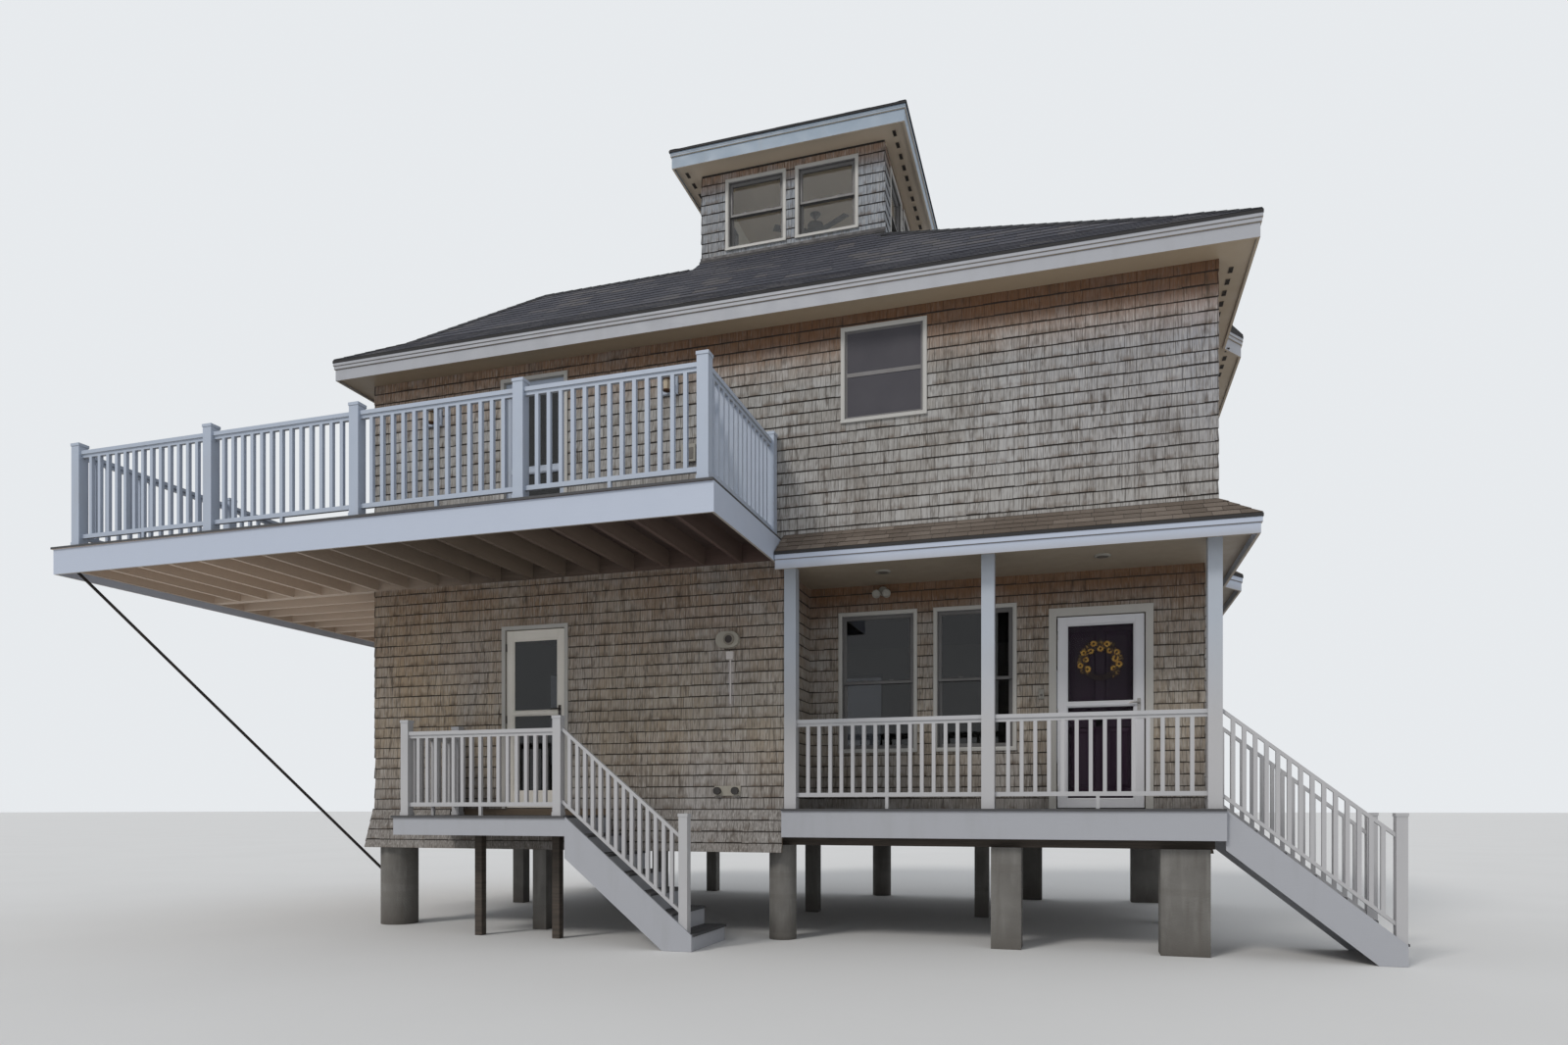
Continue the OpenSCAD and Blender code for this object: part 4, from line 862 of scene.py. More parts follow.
def hip_caps(shape, a, b, beside_a, beside_b, limits, thick=0.007, reach=0.12):
    """Bent caps up a hip from a to b, trimmed at the eaves given as (x, y, x, y, slope).

    The two points beside the hip lie on the roof faces that it parts."""
    a, b = Vector(a), Vector(b)
    line = (b - a).normalized()
    arms = []
    for p in (beside_a, beside_b):
        d = Vector(p) - a
        arms.append((d - line * d.dot(line)).normalized() * reach)
    up = line.cross(arms[0]).normalized()
    up = up if up.z > 0.0 else -up
    other = line.cross(arms[1]).normalized()
    up = (up + (other if other.z > 0.0 else -other)).normalized()
    count = max(1, round((b - a).length / ROOF_COURSE))
    step = (b - a).length / count
    for i in range(count):
        verts = []
        upper_end = min((i + 1.12) * step, count * step)
        for p, lift in ((a + line * (i * step), thick + 0.008), (a + line * upper_end, 0.010)):
            for arm in (arms[0], Vector((0.0, 0.0, 0.0)), arms[1]):
                q = p + arm
                x = min(max(q.x, limits[0]), limits[2])
                y = min(max(q.y, limits[1]), limits[3])
                q = Vector((x, y, q.z + limits[4] * max(abs(x - q.x), abs(y - q.y))))
                verts += [q + up * lift, q + up * (lift - thick)]
        shape.add(verts, [(0, 2, 8, 6), (2, 4, 10, 8), (1, 7, 9, 3), (3, 9, 11, 5), (0, 6, 7, 1),
                          (4, 5, 11, 10), (0, 1, 3, 2), (2, 3, 5, 4), (6, 8, 9, 7), (8, 10, 11, 9)])


caps = Shape()
low_corner = (LEFT + EDGE_IN, FRONT + EDGE_IN, EAVE_Z + FLARE_SLOPE * EDGE_IN)
right_corner = (RIGHT - EDGE_IN, FRONT + EDGE_IN, EAVE_Z + FLARE_SLOPE * EDGE_IN)
BY_CUPOLA = -1.25
flat_edge = (BY_CUPOLA, FLAT_Y, FLAT_Z)
hips = [(low_corner, left_low, right_corner, (LEFT, BACK, EAVE_Z)),
        (left_low, left_high, right_high, turned_back(left_low)),
        (right_corner, corner, low_corner, (RIGHT, BACK, EAVE_Z)),
        (corner, right_high, left_low, turned_back(corner)),
        (right_high, cupola_step, left_low, turned_back(right_high)),
        (flat_edge, left_high, (BY_CUPOLA, FLARE_Y, FLARE_Z), (BY_CUPOLA, CUPOLA_Y, FLAT_Z))]
CAP_IN = 0.015
eaves = (LEFT + CAP_IN, FRONT + CAP_IN, RIGHT - CAP_IN, BACK - CAP_IN, FLARE_SLOPE)
for hip in hips:
    hip_caps(caps, *hip, eaves)
    hip_caps(caps, *[turned_back(p) for p in hip], eaves)
hip_caps(caps, left_high, turned_back(left_high), (FLARE_X, FLAT_Y, FLARE_Z), flat_edge, eaves)
apex = (CUPOLA_X, CUPOLA_Y, CAP_LOW + CAP_SLOPE * CAP_R)
span = CAP_R - CAP_IN
cupola_eaves = (CUPOLA_X - span, CUPOLA_Y - span, CUPOLA_X + span, CUPOLA_Y + span, CAP_SLOPE)
cupola_corners = [points[0] for points in cupola_faces]
for i, low_end in enumerate(cupola_corners):
    low, high = [Vector(low_end).lerp(Vector(apex), share) for share in (0.006, 0.965)]
    hip_caps(caps, low, high, cupola_corners[(i + 1) % 4], cupola_corners[i - 1], cupola_eaves, reach=0.11)
caps.made("hip_caps", charcoal, slot="roof_shingles")

# Porch roofing
# The narrow pent roof over the porch and round the bay has the same mineral-faced shingles,
# nailed in shorter courses and weathered brown.
brown_roofing = roofing("brown_roofing", [(0.0, (0.092, 0.070, 0.054)), (0.5, (0.138, 0.108, 0.085)),
                                          (0.8, (0.165, 0.132, 0.106)), (1.0, (0.205, 0.168, 0.138))],
                        (0.29, 0.255, 0.225), (0.030, 0.022, 0.017))
PENT_OUT, PENT_LOW, PENT_COURSE = 0.35, 4.18, 0.108
pent_path = [(PORCH_X, 0.0)] + right_path
pent = [face[0] for face in sloped_faces(pent_path, 0.0, PENT_TOP, PENT_OUT, PENT_LOW)]
lay_roofing("pent_shingles", pent, brown_roofing, 23, PENT_COURSE, (0.12, 0.3))

# Flashing
# A bent strip of dull dark sheet, nailed under the lowest shingles, closes the roof against the
# front and the back of the cupola.
FOLD, LAP, OVER = 0.032, 0.07, 0.02
ends = (CUPOLA_X - CUPOLA_R - OVER, CUPOLA_X + CUPOLA_R + OVER)
flashing = Shape()
for y, sign in ((CUPOLA_Y - CUPOLA_R, -1.0), (CUPOLA_Y + CUPOLA_R, 1.0)):
    z = DECK_Z + 0.012
    low = z - PITCH * LAP
    rows = [(y + sign * LAP, low), (y + sign * 0.016, z), (y + sign * 0.016, z + FOLD),
            (y + sign * 0.013, z + FOLD), (y + sign * 0.013, z - 0.003), (y + sign * LAP, low - 0.003)]
    flashing.add([(x, v, t) for x in ends for v, t in rows],
                 [(i, (i + 1) % 6, 6 + (i + 1) % 6, 6 + i) for i in range(6)]
                 + [(0, 5, 4, 1), (1, 4, 3, 2), (6, 7, 10, 11), (7, 8, 9, 10)])
sheet_metal = clouded("dull_flashing", (0.055, 0.052, 0.054), 0.6, (0.095, 0.090, 0.088), (6.0, 0.45, 0.75),
                      0.6, (14.0, 0.4, 0.65), Metallic=0.3)
flashing.made("cupola_flashing", sheet_metal.done())

# White trim
# Painted boards, nailed up: fascias, soffits, stringers, risers and, in a warmer paint, the door
# casings. Undersides are cream to tan as painted light and shade, the trim at the height of the pent
# eave and the cupola's trim are bluer as painted sky light, and the joints between fascia, crown and
# drip edge are dark, partly as painted shadow under the steps.
PENT_EAVE_SKY_LIGHT = (3.98, 4.08, 4.4, 4.5)


def painted(name, under, shadowed_seams=(), base=(0.398, 0.408, 0.440)):
    """Weathered white paint, with the underside colour that paints its light and shade, and the heights of
    its dark joints, partly painted shadow under the steps.
    """
    finish = Finish(name, base, 0.5)
    finish.tint((0.325, 0.328, 0.338), finish.noise((6.0, 6.0, 1.2), 0.52, 0.8, 4.0), 0.35)
    # Painted sky light: bluer at the height of the pent eave.
    finish.tint((0.50, 0.56, 0.68), finish.zone(2, *PENT_EAVE_SKY_LIGHT), 0.85)
    # Dark joints, partly painted shadow under the steps of fascia and crown.
    for z in shadowed_seams:
        shadowed_joint = finish.zone(2, z - 0.005, z - 0.002, z + 0.002, z + 0.005)
        finish.tint((0.075, 0.075, 0.085), shadowed_joint, 0.85)
    # Painted light and shade: the undersides take their own colour.
    finish.tint(under, finish.facing(2, -0.5, -0.9), 1.0)
    finish.bump(finish.noise((4.0, 4.0, 120.0), 0.3, 0.7), 0.0006, 0.5)
    finish.rough(finish.noise(5.0), 0.42, 0.6)
    return finish.done()


dress(painted("eave_paint", (0.42, 0.335, 0.235), (6.875, 6.915)), "eave_trim", edge=0.002)
# The cupola's trim has a bluer base, as painted sky light.
cupola_paint = painted("cupola_paint", (0.74, 0.62, 0.47), (9.963, 9.985), (0.295, 0.365, 0.445))
dress(cupola_paint, "cupola_trim", edge=0.002)
dress(painted("pent_paint", (0.34, 0.28, 0.215), (4.10,)), "pent_trim", edge=0.002)
dress(painted("ceiling_paint", (0.30, 0.25, 0.19)), "porch_ceiling")
board_paint = painted("board_paint", (0.38, 0.35, 0.31))
dress(board_paint, "deck_fascia", "stair_stringers", "stair_risers", edge=0.002)
casing_paint = clouded("casing_paint", (0.47, 0.455, 0.425), 0.5, (0.38, 0.365, 0.335),
                       ((6.0, 6.0, 1.2), 0.5, 0.8), 0.4, (5.0, 0.42, 0.6))
dress(casing_paint.done(), "door_casings", edge=0.002)

# Soffit vents
# Louvred aluminium grilles let into the soffits at the sides of the house and of the cupola,
# one to each rafter space. Each has a thin frame, three slats and, behind them, a near-black sheet as
# painted shade.
VENT_L, VENT_W, VENT_PITCH, VENT_RIM, SLAT, SLAT_PITCH = 0.105, 0.042, 0.225, 0.005, 0.003, 0.0125
VENT_OUT, BAY_VENT_OUT, FIRST_VENT, BAY_ROOM = 0.15, 0.36, 0.24, 0.15
vent_frames, vent_shade_sheets = Shape(), Shape()


def put_all(shapes, x, y, z, turn=0.0):
    for shape in shapes:
        shape.put(x, y, z, turn)


def soffit_vent(x, y, z):
    """Grille that lies along Y under a soffit at height z."""
    put_all((vent_frames, vent_shade_sheets), x, y, z)
    half, wide = VENT_L / 2, VENT_W / 2
    vent_shade_sheets.board((-wide + 0.003, -half + 0.003, -0.0020), (wide - 0.003, half - 0.003, -0.0004))
    for a, b in (((-wide, -half), (-wide + VENT_RIM, half)), ((wide - VENT_RIM, -half), (wide, half)),
                 ((-wide + VENT_RIM, -half), (wide - VENT_RIM, -half + 0.006)),
                 ((-wide + VENT_RIM, half - 0.006), (wide - VENT_RIM, half))):
        vent_frames.board((a[0], a[1], -0.006), (b[0], b[1], -0.0004))
    for i in range(3):
        s = -wide + SLAT_PITCH + i * SLAT_PITCH
        vent_frames.board((s, -half + 0.006, -0.005), (s + SLAT, half - 0.006, -0.0024))


for side in (-1.0, 1.0):
    for i in range(26):
        y = FIRST_VENT + i * VENT_PITCH
        by_bay = side > 0.0 and BAY[0][1] - BAY_ROOM < y < BAY[3][1] + BAY_ROOM
        soffit_vent(side * (HALF + (BAY_VENT_OUT if by_bay else VENT_OUT)), y, SOFFIT)
    for i in range(13):
        soffit_vent(CUPOLA_X + side * (CUPOLA_R + VENT_OUT), CUPOLA_Y + (i - 6) * VENT_PITCH, CUPOLA_SOFFIT)
# Painted shade: a near-black sheet behind each grille.
vent_shade = clouded("vent_shade_sheet", (0.018, 0.014, 0.011), 0.9, (0.03, 0.024, 0.018), (20.0,))
vent_shade_sheets.made("soffit_vent_shade_sheets", vent_shade.done())
grille = clouded("vent_grille", (0.075, 0.058, 0.042), 0.55, (0.115, 0.092, 0.068), (9.0, 0.45, 0.7))
vent_frames.made("soffit_vent_grilles", grille.done())

# Railings and columns
# Moulded white vinyl sleeves over posts and balusters, screwed to brackets. They are smooth and
# faintly dusty, painted cooler from about 2.3 m up and most on the balcony, which faces the open sky,
# as painted sky light, and darker underneath as painted shade.
vinyl = Finish("white_vinyl", (0.475, 0.472, 0.482), 0.38)
# Painted sky light: cooler from about 2.3 m up, and most on the balcony.
vinyl.tint((0.425, 0.470, 0.535), vinyl.band(2, 2.3, 3.3), 0.9)
vinyl.tint((0.41, 0.465, 0.56), vinyl.band(2, 4.3, 4.4))
vinyl.tint((0.36, 0.37, 0.385), vinyl.noise((5.0, 5.0, 1.5), 0.55, 0.8, 4.0), 0.3)
vinyl.tint((0.44, 0.44, 0.435), vinyl.facing(2, 0.6, 0.95), 0.3)
# Painted shade on the undersides.
vinyl.tint((0.36, 0.35, 0.33), vinyl.facing(2, -0.5, -0.9), 0.7)
vinyl.rough(vinyl.noise(9.0), 0.3, 0.5)
white_vinyl = vinyl.done()
dress(white_vinyl, "porch_columns", "porch_rails", "porch_stair_rails", "balcony_posts", "balcony_rails",
      "landing_rails", edge=0.0025)

# Decks
# Grey composite boards with eased edges, screwed 5 mm apart across treated joists. Every tread is
# two boards, cut round the newels.
BOARD_T, BOARD_W, BOARD_GAP, NOSE = 0.025, 0.14, 0.005, 0.02
BALCONY_Z, LANDING_Z = 4.40, 1.375
BALCONY_X, BALCONY_Y = (-7.487, 0.487), -2.11
PORCH_END, LANDING_X, LANDING_D = 4.949, (-3.744, -1.594), 1.08


def lay_boards(shape, low, high, top, along, ease=0.003):
    """Deck boards over a rectangle, along X or Y, in whole boards with the last one ripped."""
    across = 1 - along
    place = high[across] if along == 0 else low[across]
    step = -BOARD_W if along == 0 else BOARD_W
    while low[across] + 0.02 < place if along == 0 else place < high[across] - 0.02:
        end = place + step
        a, b = sorted((place, end))
        a, b = max(a, low[across]), min(b, high[across])
        corner_low, corner_high = [0.0, 0.0, top - BOARD_T], [0.0, 0.0, top]
        corner_low[along], corner_high[along] = low[along], high[along]
        corner_low[across], corner_high[across] = a, b - BOARD_GAP
        shape.board(corner_low, corner_high, ease)
        place = end


deck = Shape()
lay_boards(deck, (BALCONY_X[0] - NOSE, BALCONY_Y - NOSE), (BALCONY_X[1], 0.0), BALCONY_Z, 0)
lay_boards(deck, (BALCONY_X[0] - NOSE, 0.0), (-HALF, DEPTH), BALCONY_Z, 1)
porch = Shape()
lay_boards(porch, (PORCH_X, -0.12), (PORCH_END, PORCH_D), FLOOR, 0)
landing = Shape()
lay_boards(landing, (LANDING_X[0] - NOSE, -LANDING_D - NOSE), (LANDING_X[1], 0.0), LANDING_Z, 0)

treads = Shape()
STEPS = 6
PORCH_NEWELS = [(6.436, 0.03), (6.436, 0.9765)]
LANDING_NEWELS = [(-0.258, -1.006)]
NEWEL_ROOM = 0.0485

# Stairs as (start, top, rise, going, front edge, back edge, newels that stand in the treads)
STAIRS = ((PORCH_END, FLOOR, 0.207, 0.255, -0.0185, 1.025, PORCH_NEWELS),
          (LANDING_X[1], LANDING_Z, 0.200, 0.240, -1.055, -0.115, LANDING_NEWELS))
for start_x, top, rise, going, y0, y1, newels in STAIRS:
    holes = [(x - NEWEL_ROOM, y - NEWEL_ROOM, x + NEWEL_ROOM, y + NEWEL_ROOM) for x, y in newels]
    for i in range(STEPS):
        x0 = start_x + i * going + 0.001
        x2 = start_x + (i + 1) * going + NOSE
        x1 = (x0 + x2) / 2
        z = top - (i + 1) * rise
        for a, b in ((x0, x1 - BOARD_GAP / 2), (x1 + BOARD_GAP / 2, x2)):
            parts = cut_out((a, y0, b, y1), holes)
            for c, d, e, f in parts:
                treads.board((c, d, z - BOARD_T), (e, f, z), 0.003 if len(parts) == 1 else 0.0)

LEFT_PAINTED_LIGHT = (-2.6, -5.2)
composite = Finish("deck_boards", (0.052, 0.052, 0.056), 0.7)
composite.tones((0.0, (0.040, 0.040, 0.044)), (1.0, (0.072, 0.071, 0.074)))
composite.tint((0.110, 0.107, 0.105), composite.noise((30.0, 2.0, 30.0), 0.5, 0.8, 4.0), 0.3)
# Undersides: dark red-brown as painted shade, turning pale towards the left as painted light.
below = composite.facing(2, -0.5, -0.9)
composite.tint((0.075, 0.050, 0.042), below)
composite.tint((0.62, 0.50, 0.40), composite.math(below, composite.band(0, *LEFT_PAINTED_LIGHT)), 0.9)
composite.bump(composite.noise((90.0, 90.0, 90.0), 0.3, 0.7, 3.0), 0.0008, 0.6)
deck_boards = composite.done()
for shape, name, node in ((deck, "balcony_boards", "balcony_deck"),
                          (porch, "porch_boards", "porch_deck"),
                          (landing, "landing_boards", "landing_deck"),
                          (treads, "tread_boards", "stair_treads")):
    piece = shape.made(name, deck_boards, slot="deck_boards")
    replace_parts(piece, node)

joists = Finish("treated_joists", (0.125, 0.092, 0.068), 0.75)
joists.tint((0.075, 0.052, 0.038), joists.noise((3.0, 3.0, 30.0), 0.45, 0.7, 4.0), 0.7)
joists.tint((0.19, 0.15, 0.115), joists.noise((2.0, 2.0, 14.0), 0.55, 0.8, 4.0), 0.4)
# Painted light: paler on the sides facing +X and towards the left.
joists.tint((0.36, 0.285, 0.215), joists.facing(0, 0.5, 0.9), 0.5)
joists.tint((0.62, 0.50, 0.40), joists.band(0, *LEFT_PAINTED_LIGHT), 0.9)
joists.tint((0.085, 0.045, 0.040), joists.band(0, -2.0, 0.4), 0.7)
joists.bump(joists.noise((4.0, 4.0, 100.0)), 0.0012, 0.5)
dress(joists.done(), "deck_joists", edge=0.002)

# Windows
# Double-hung vinyl windows: a white flange with a small sill, nailed over the shingles, and a box
# and two sashes with sloped glazing beads, coloured dark grey as painted shade. The upper storey
# has screens with a wide middle bar, opaque and dark: the mesh's own grey and painted shade of the room
# behind.
casings, sashes, screens, screen_frames = Shape(), Shape(), Shape(), Shape()
panes, cupola_panes = Shape(), Shape()
FLANGE, BOX, STILE, MEET, LOCK_X = 0.04, 0.015, 0.038, 0.019, 0.16
for x, y, z, turn, w, h in WINDOWS:
    put_all((casings, sashes, panes, cupola_panes, screens, screen_frames), x, y, z, turn)
    glazing = cupola_panes if z == CUPOLA_MID else panes
    casings.ring(w + 2 * FLANGE, h + 2 * FLANGE,
                 [(0, 0), (0, -0.016), (0.004, -0.020), (0.034, -0.020), (0.045, -0.013), (0.045, 0)])
    sashes.ring(w, h, [(0, 0), (BOX, 0), (BOX, 0.110), (0, 0.110)])
    casings.board((-w / 2 - FLANGE, -0.032, -h / 2 - FLANGE),
                  (w / 2 + FLANGE, -0.020, -h / 2 - 0.012), 0.003)
    sash_w = w - 2 * BOX
    for depth, low, high in ((0.020, -MEET, h / 2 - BOX), (0.055, -h / 2 + BOX, MEET)):
        section = [(0, 0), (0.026, 0), (STILE, 0.010), (STILE, 0.024), (0.030, 0.035), (0, 0.035)]
        sashes.ring(sash_w, high - low, [(d, depth + t) for d, t in section], z=(low + high) / 2)
        half = sash_w / 2 - STILE + 0.004
        glazing.board((-half, depth + 0.014, low + STILE - 0.004),
                      (half, depth + 0.020, high - STILE + 0.004))
    for side in (-LOCK_X, LOCK_X):
        sashes.board((side - 0.025, 0.030, MEET), (side + 0.025, 0.050, MEET + 0.010), 0.003)
    if z == UP_MID:
        screen_frames.ring(sash_w, h - 2 * BOX, [(0, 0.006), (0.012, 0.006), (0.012, 0.014), (0, 0.014)])
        screen_frames.board((-sash_w / 2 + 0.012, 0.004, -0.022), (sash_w / 2 - 0.012, 0.014, 0.022), 0.002)
        for low, high in ((-h / 2 + BOX + 0.010, -0.021), (0.021, h / 2 - BOX - 0.010)):
            screens.board((-sash_w / 2 + 0.010, 0.0095, low), (sash_w / 2 - 0.010, 0.0105, high))
flange_vinyl = clouded("window_flange", (0.47, 0.46, 0.435), 0.42, (0.40, 0.385, 0.35),
                       ((5.0, 5.0, 1.5), 0.5, 0.8), 0.4)
# Painted sky light: the upward faces of flange and sill are lighter and bluer.
flange_vinyl.tint((0.56, 0.59, 0.63), flange_vinyl.facing(2, 0.5, 0.9), 0.5)
flange_vinyl.rough(flange_vinyl.noise(9.0), 0.35, 0.5)
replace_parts(casings.made("window_casings", flange_vinyl.done(), slot="white_vinyl"), "window_frames")
# The box, sashes and locks are dark grey as painted shade.
sash_vinyl_shade = clouded("window_sash", (0.135, 0.130, 0.128), 0.42, (0.095, 0.092, 0.092),
                     ((4.0, 4.0, 1.5), 0.45, 0.75), 0.5, (9.0, 0.35, 0.5))
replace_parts(sashes.made("window_sashes", sash_vinyl_shade.done(), slot="white_vinyl"), "window_frames")
screen_metal = clouded("screen_frame", (0.165, 0.158, 0.160), 0.45, (0.125, 0.115, 0.110), (8.0,))
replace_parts(screen_frames.made("screen_frames", screen_metal.done(), slot="white_vinyl"), "window_frames")
# The opaque mesh is dark: its own grey and painted shade of the room behind.
mesh_cloth = clouded("screen_mesh", (0.060, 0.057, 0.068), 0.8, (0.078, 0.074, 0.084), (3.0,))
mesh_cloth.bump(mesh_cloth.noise(700.0), 0.0004, 0.4)
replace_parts(screens.made("window_screens", mesh_cloth.done(), slot="white_vinyl"), "window_frames")

# Glass
# Sealed panes, tinted grey in the house as painted shade of the dark rooms behind, nearly clear in the
# storm door and bright in the cupola, which mirrors the sky. Light for shadows passes straight through.
def pane_glass(name, color, cloud, ior=1.45):
    glass = Finish(name, color, 0.02, Transmission_Weight=1.0, IOR=ior)
    glass.tint(cloud, glass.noise(2.0, 0.4, 0.8), 0.4)
    material = glass.done()
    light_path = glass.node("ShaderNodeLightPath")
    passing = glass.math(light_path.outputs["Is Shadow Ray"], light_path.outputs["Is Diffuse Ray"],
                         "MAXIMUM")
    clear = glass.node("ShaderNodeBsdfTransparent")
    blend = glass.node("ShaderNodeMixShader")
    glass.link(passing, blend.inputs[0])
    glass.link(glass.shader.outputs[0], blend.inputs[1])
    glass.link(clear.outputs[0], blend.inputs[2])
    glass.link(blend.outputs[0], glass.tree.nodes["Material Output"].inputs["Surface"])
    return material


# The house panes' grey tint is painted shade of the dark rooms behind.
grey_glass = pane_glass("house_glass", (0.16, 0.165, 0.175), (0.12, 0.125, 0.135))
clear_glass = pane_glass("clear_glass", (0.90, 0.91, 0.90), (0.85, 0.87, 0.86), 1.12)
bright_glass = pane_glass("bright_glass", (0.94, 0.94, 0.93), (0.88, 0.89, 0.88), 1.5)
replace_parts(cupola_panes.made("cupola_panes", bright_glass, slot="glass"), "window_glass")
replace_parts(panes.made("window_panes", grey_glass, slot="glass"), "window_glass")

# Glazed doors
# The side door, the storm door and the door to the balcony have stiles and rails round two panes
# held by moulded beads. The side door is cream with a dark lever, the storm door white with a
# satin one, and both turn on three hinge knuckles.
SIDE_DOOR_X, FRONT_DOOR_X, BALCONY_DOOR_X = -2.6, 3.822, -2.611
DOOR_H, DOOR_FOOT, BALCONY_DOOR_FOOT = 2.12, FLOOR + 0.01, 4.42
SIDE_DOOR = dict(w=0.776, h=DOOR_H, t=0.040, side=0.085, low=0.190, mid_z=1.115, mid=0.034, top=0.110)
STORM_DOOR = dict(w=0.910, h=DOOR_H, t=0.035, side=0.095, low=0.090, mid_z=1.130, mid=0.032, top=0.085)
BALCONY_DOOR = dict(w=0.810, h=2.14, t=0.060, side=0.070, low=0.150, mid_z=1.05, mid=0.060, top=0.080)


def glazed_leaf(leaf, pane, w, h, t, side, low, mid_z, mid, top):
    """Stiles, rails, beads and panes from the hinge edge, with the outer face at depth 0.

    w, h and t are the leaf's size, side, low, mid and top the widths of its stiles and rails, and
    mid_z is the height of the middle rail's foot."""
    leaf.board((0, 0, 0), (side, t, h))
    leaf.board((w - side, 0, 0), (w, t, h))
    for z0, z1 in ((0, low), (mid_z, mid_z + mid), (h - top, h)):
        leaf.board((side, 0, z0), (w - side, t, z1))
    for z0, z1 in ((low, mid_z), (mid_z + mid, h - top)):
        bead = [(0, 0.005), (0.004, 0.001), (0.018, 0.010), (0.018, t - 0.010), (0.004, t - 0.001),
                (0, t - 0.005)]
        leaf.ring(w - 2 * side, z1 - z0, bead, x=w / 2, z=(z0 + z1) / 2)
        pane.board((side + 0.014, t / 2 - 0.003, z0 + 0.014),
                   (w - side - 0.014, t / 2 + 0.003, z1 - 0.014))


def lever_set(metal, x, z):
    """Plate, neck and lever on the outer face of a leaf at x, pointing to its hinges."""
    plate = metal.beside(x, 0.0, z)
    plate.board((-0.018, -0.006, -0.10), (0.018, 0.0, 0.045), 0.004)
    plate.lathe([(0.0, 0.0), (0.015, 0.0), (0.015, -0.008), (0.009, -0.012), (0.009, -0.038),
                 (0.0, -0.038)], sides=16, axis="Y")
    plate.tube([(0.004, -0.034, 0.0), (-0.03, -0.037, 0.002), (-0.075, -0.036, 0.0),
                (-0.105, -0.030, -0.004)], (0.009, 0.0085, 0.008, 0.0065), sides=10)
    plate.lathe([(0.0, -0.011), (0.009, -0.011), (0.011, -0.006), (0.0, -0.006)], sides=16, axis="Y")


def hinge_knuckles(metal, y, h):
    for z in (0.2, h / 2, h - 0.2):
        metal.beside(0.0, y, z).lathe([(0.0, -0.047), (0.004, -0.047), (0.006, -0.044), (0.006, 0.044),
                                       (0.004, 0.047), (0.0, 0.047)], sides=16)


def hang_glazed_door(node, names, x, y, sizes, lever_in, lever_z, finishes):
    """Leaf, panes and lever of a door that turns; sizes are those of glazed_leaf."""
    leaf, pane, metal = Shape(), Shape(), Shape()
    put_all((leaf, pane, metal), x - sizes["w"] / 2, y, DOOR_FOOT)
    glazed_leaf(leaf, pane, **sizes)
    lever_set(metal, sizes["w"] - lever_in, lever_z)
    hinge_knuckles(metal, -0.005, DOOR_H)
    for shape, name, (material, slot) in zip((leaf, pane, metal), names, finishes):
        piece = shape.made(name, material, node + "_leaf", slot, smooth=35 if shape is metal else None,
                           edge=0.002 if shape is leaf else 0.0)
        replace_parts(piece, node)


paint_clouds = ((6.0, 6.0, 1.5), 0.5, 0.8)
cream = clouded("cream_door", (0.76, 0.72, 0.65), 0.45, (0.66, 0.62, 0.55), paint_clouds, 0.4,
                (8.0, 0.35, 0.55))
storm_paint = clouded("storm_door_white", (0.68, 0.68, 0.71), 0.4, (0.58, 0.58, 0.60), paint_clouds, 0.4,
                      (8.0, 0.3, 0.5))
hardware = clouded("dark_hardware", (0.045, 0.040, 0.038), 0.38, (0.09, 0.075, 0.06), (40.0, 0.5, 0.7), 0.5,
                   (30.0, 0.3, 0.5), Metallic=0.8)
door_metal = hardware.done()
satin = clouded("satin_hardware", (0.33, 0.315, 0.30), 0.35, (0.22, 0.205, 0.19), (40.0, 0.5, 0.7), 0.5,
                (30.0, 0.28, 0.45), Metallic=0.85)
hang_glazed_door("left_door", ("side_door_leaf", "side_door_panes", "side_door_lever"),
                 SIDE_DOOR_X, 0.002, SIDE_DOOR, 0.060, 1.17,
                 ((cream.done(), "door_cream"), (grey_glass, "glass"), (door_metal, "dark_metal")))
hang_glazed_door("storm_door", ("storm_door_leaf_frame", "storm_door_panes", "storm_door_lever"),
                 FRONT_DOOR_X, PORCH_D + 0.002, STORM_DOOR, 0.055, 1.15,
                 ((storm_paint.done(), "white_vinyl"), (clear_glass, "glass"),
                  (satin.done(), "dark_metal")))

leaf, pane = Shape(), Shape()
put_all((leaf, pane), BALCONY_DOOR_X - BALCONY_DOOR["w"] / 2, 0.03, BALCONY_DOOR_FOOT)
glazed_leaf(leaf, pane, **BALCONY_DOOR)
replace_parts(leaf.made("balcony_door_leaf", white_vinyl, slot="white_vinyl", edge=0.002), "balcony_door")
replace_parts(pane.made("balcony_door_panes", grey_glass, slot="glass"), "balcony_door")

# Front door
# Panelled wooden door painted plum: stiles and rails round four raised panels with sloping
# borders, and a round knob on its inner side.
FRONT_W, FRONT_T, FRONT_STILE, HALF_MULLION = 0.910, 0.045, 0.12, 0.05
LOW_PANEL, HIGH_PANEL = (0.2, 0.9), (1.05, DOOR_H - 0.16)
mid_x, right_x = FRONT_W / 2, FRONT_W - FRONT_STILE
panel_door, knob = Shape(), Shape()
put_all((panel_door, knob), FRONT_DOOR_X - mid_x, PORCH_D + 0.103, DOOR_FOOT)
panel_door.board((0, 0, 0), (FRONT_STILE, FRONT_T, DOOR_H))
panel_door.board((right_x, 0, 0), (FRONT_W, FRONT_T, DOOR_H))
panel_door.board((mid_x - HALF_MULLION, 0, LOW_PANEL[0]), (mid_x + HALF_MULLION, FRONT_T, HIGH_PANEL[1]))
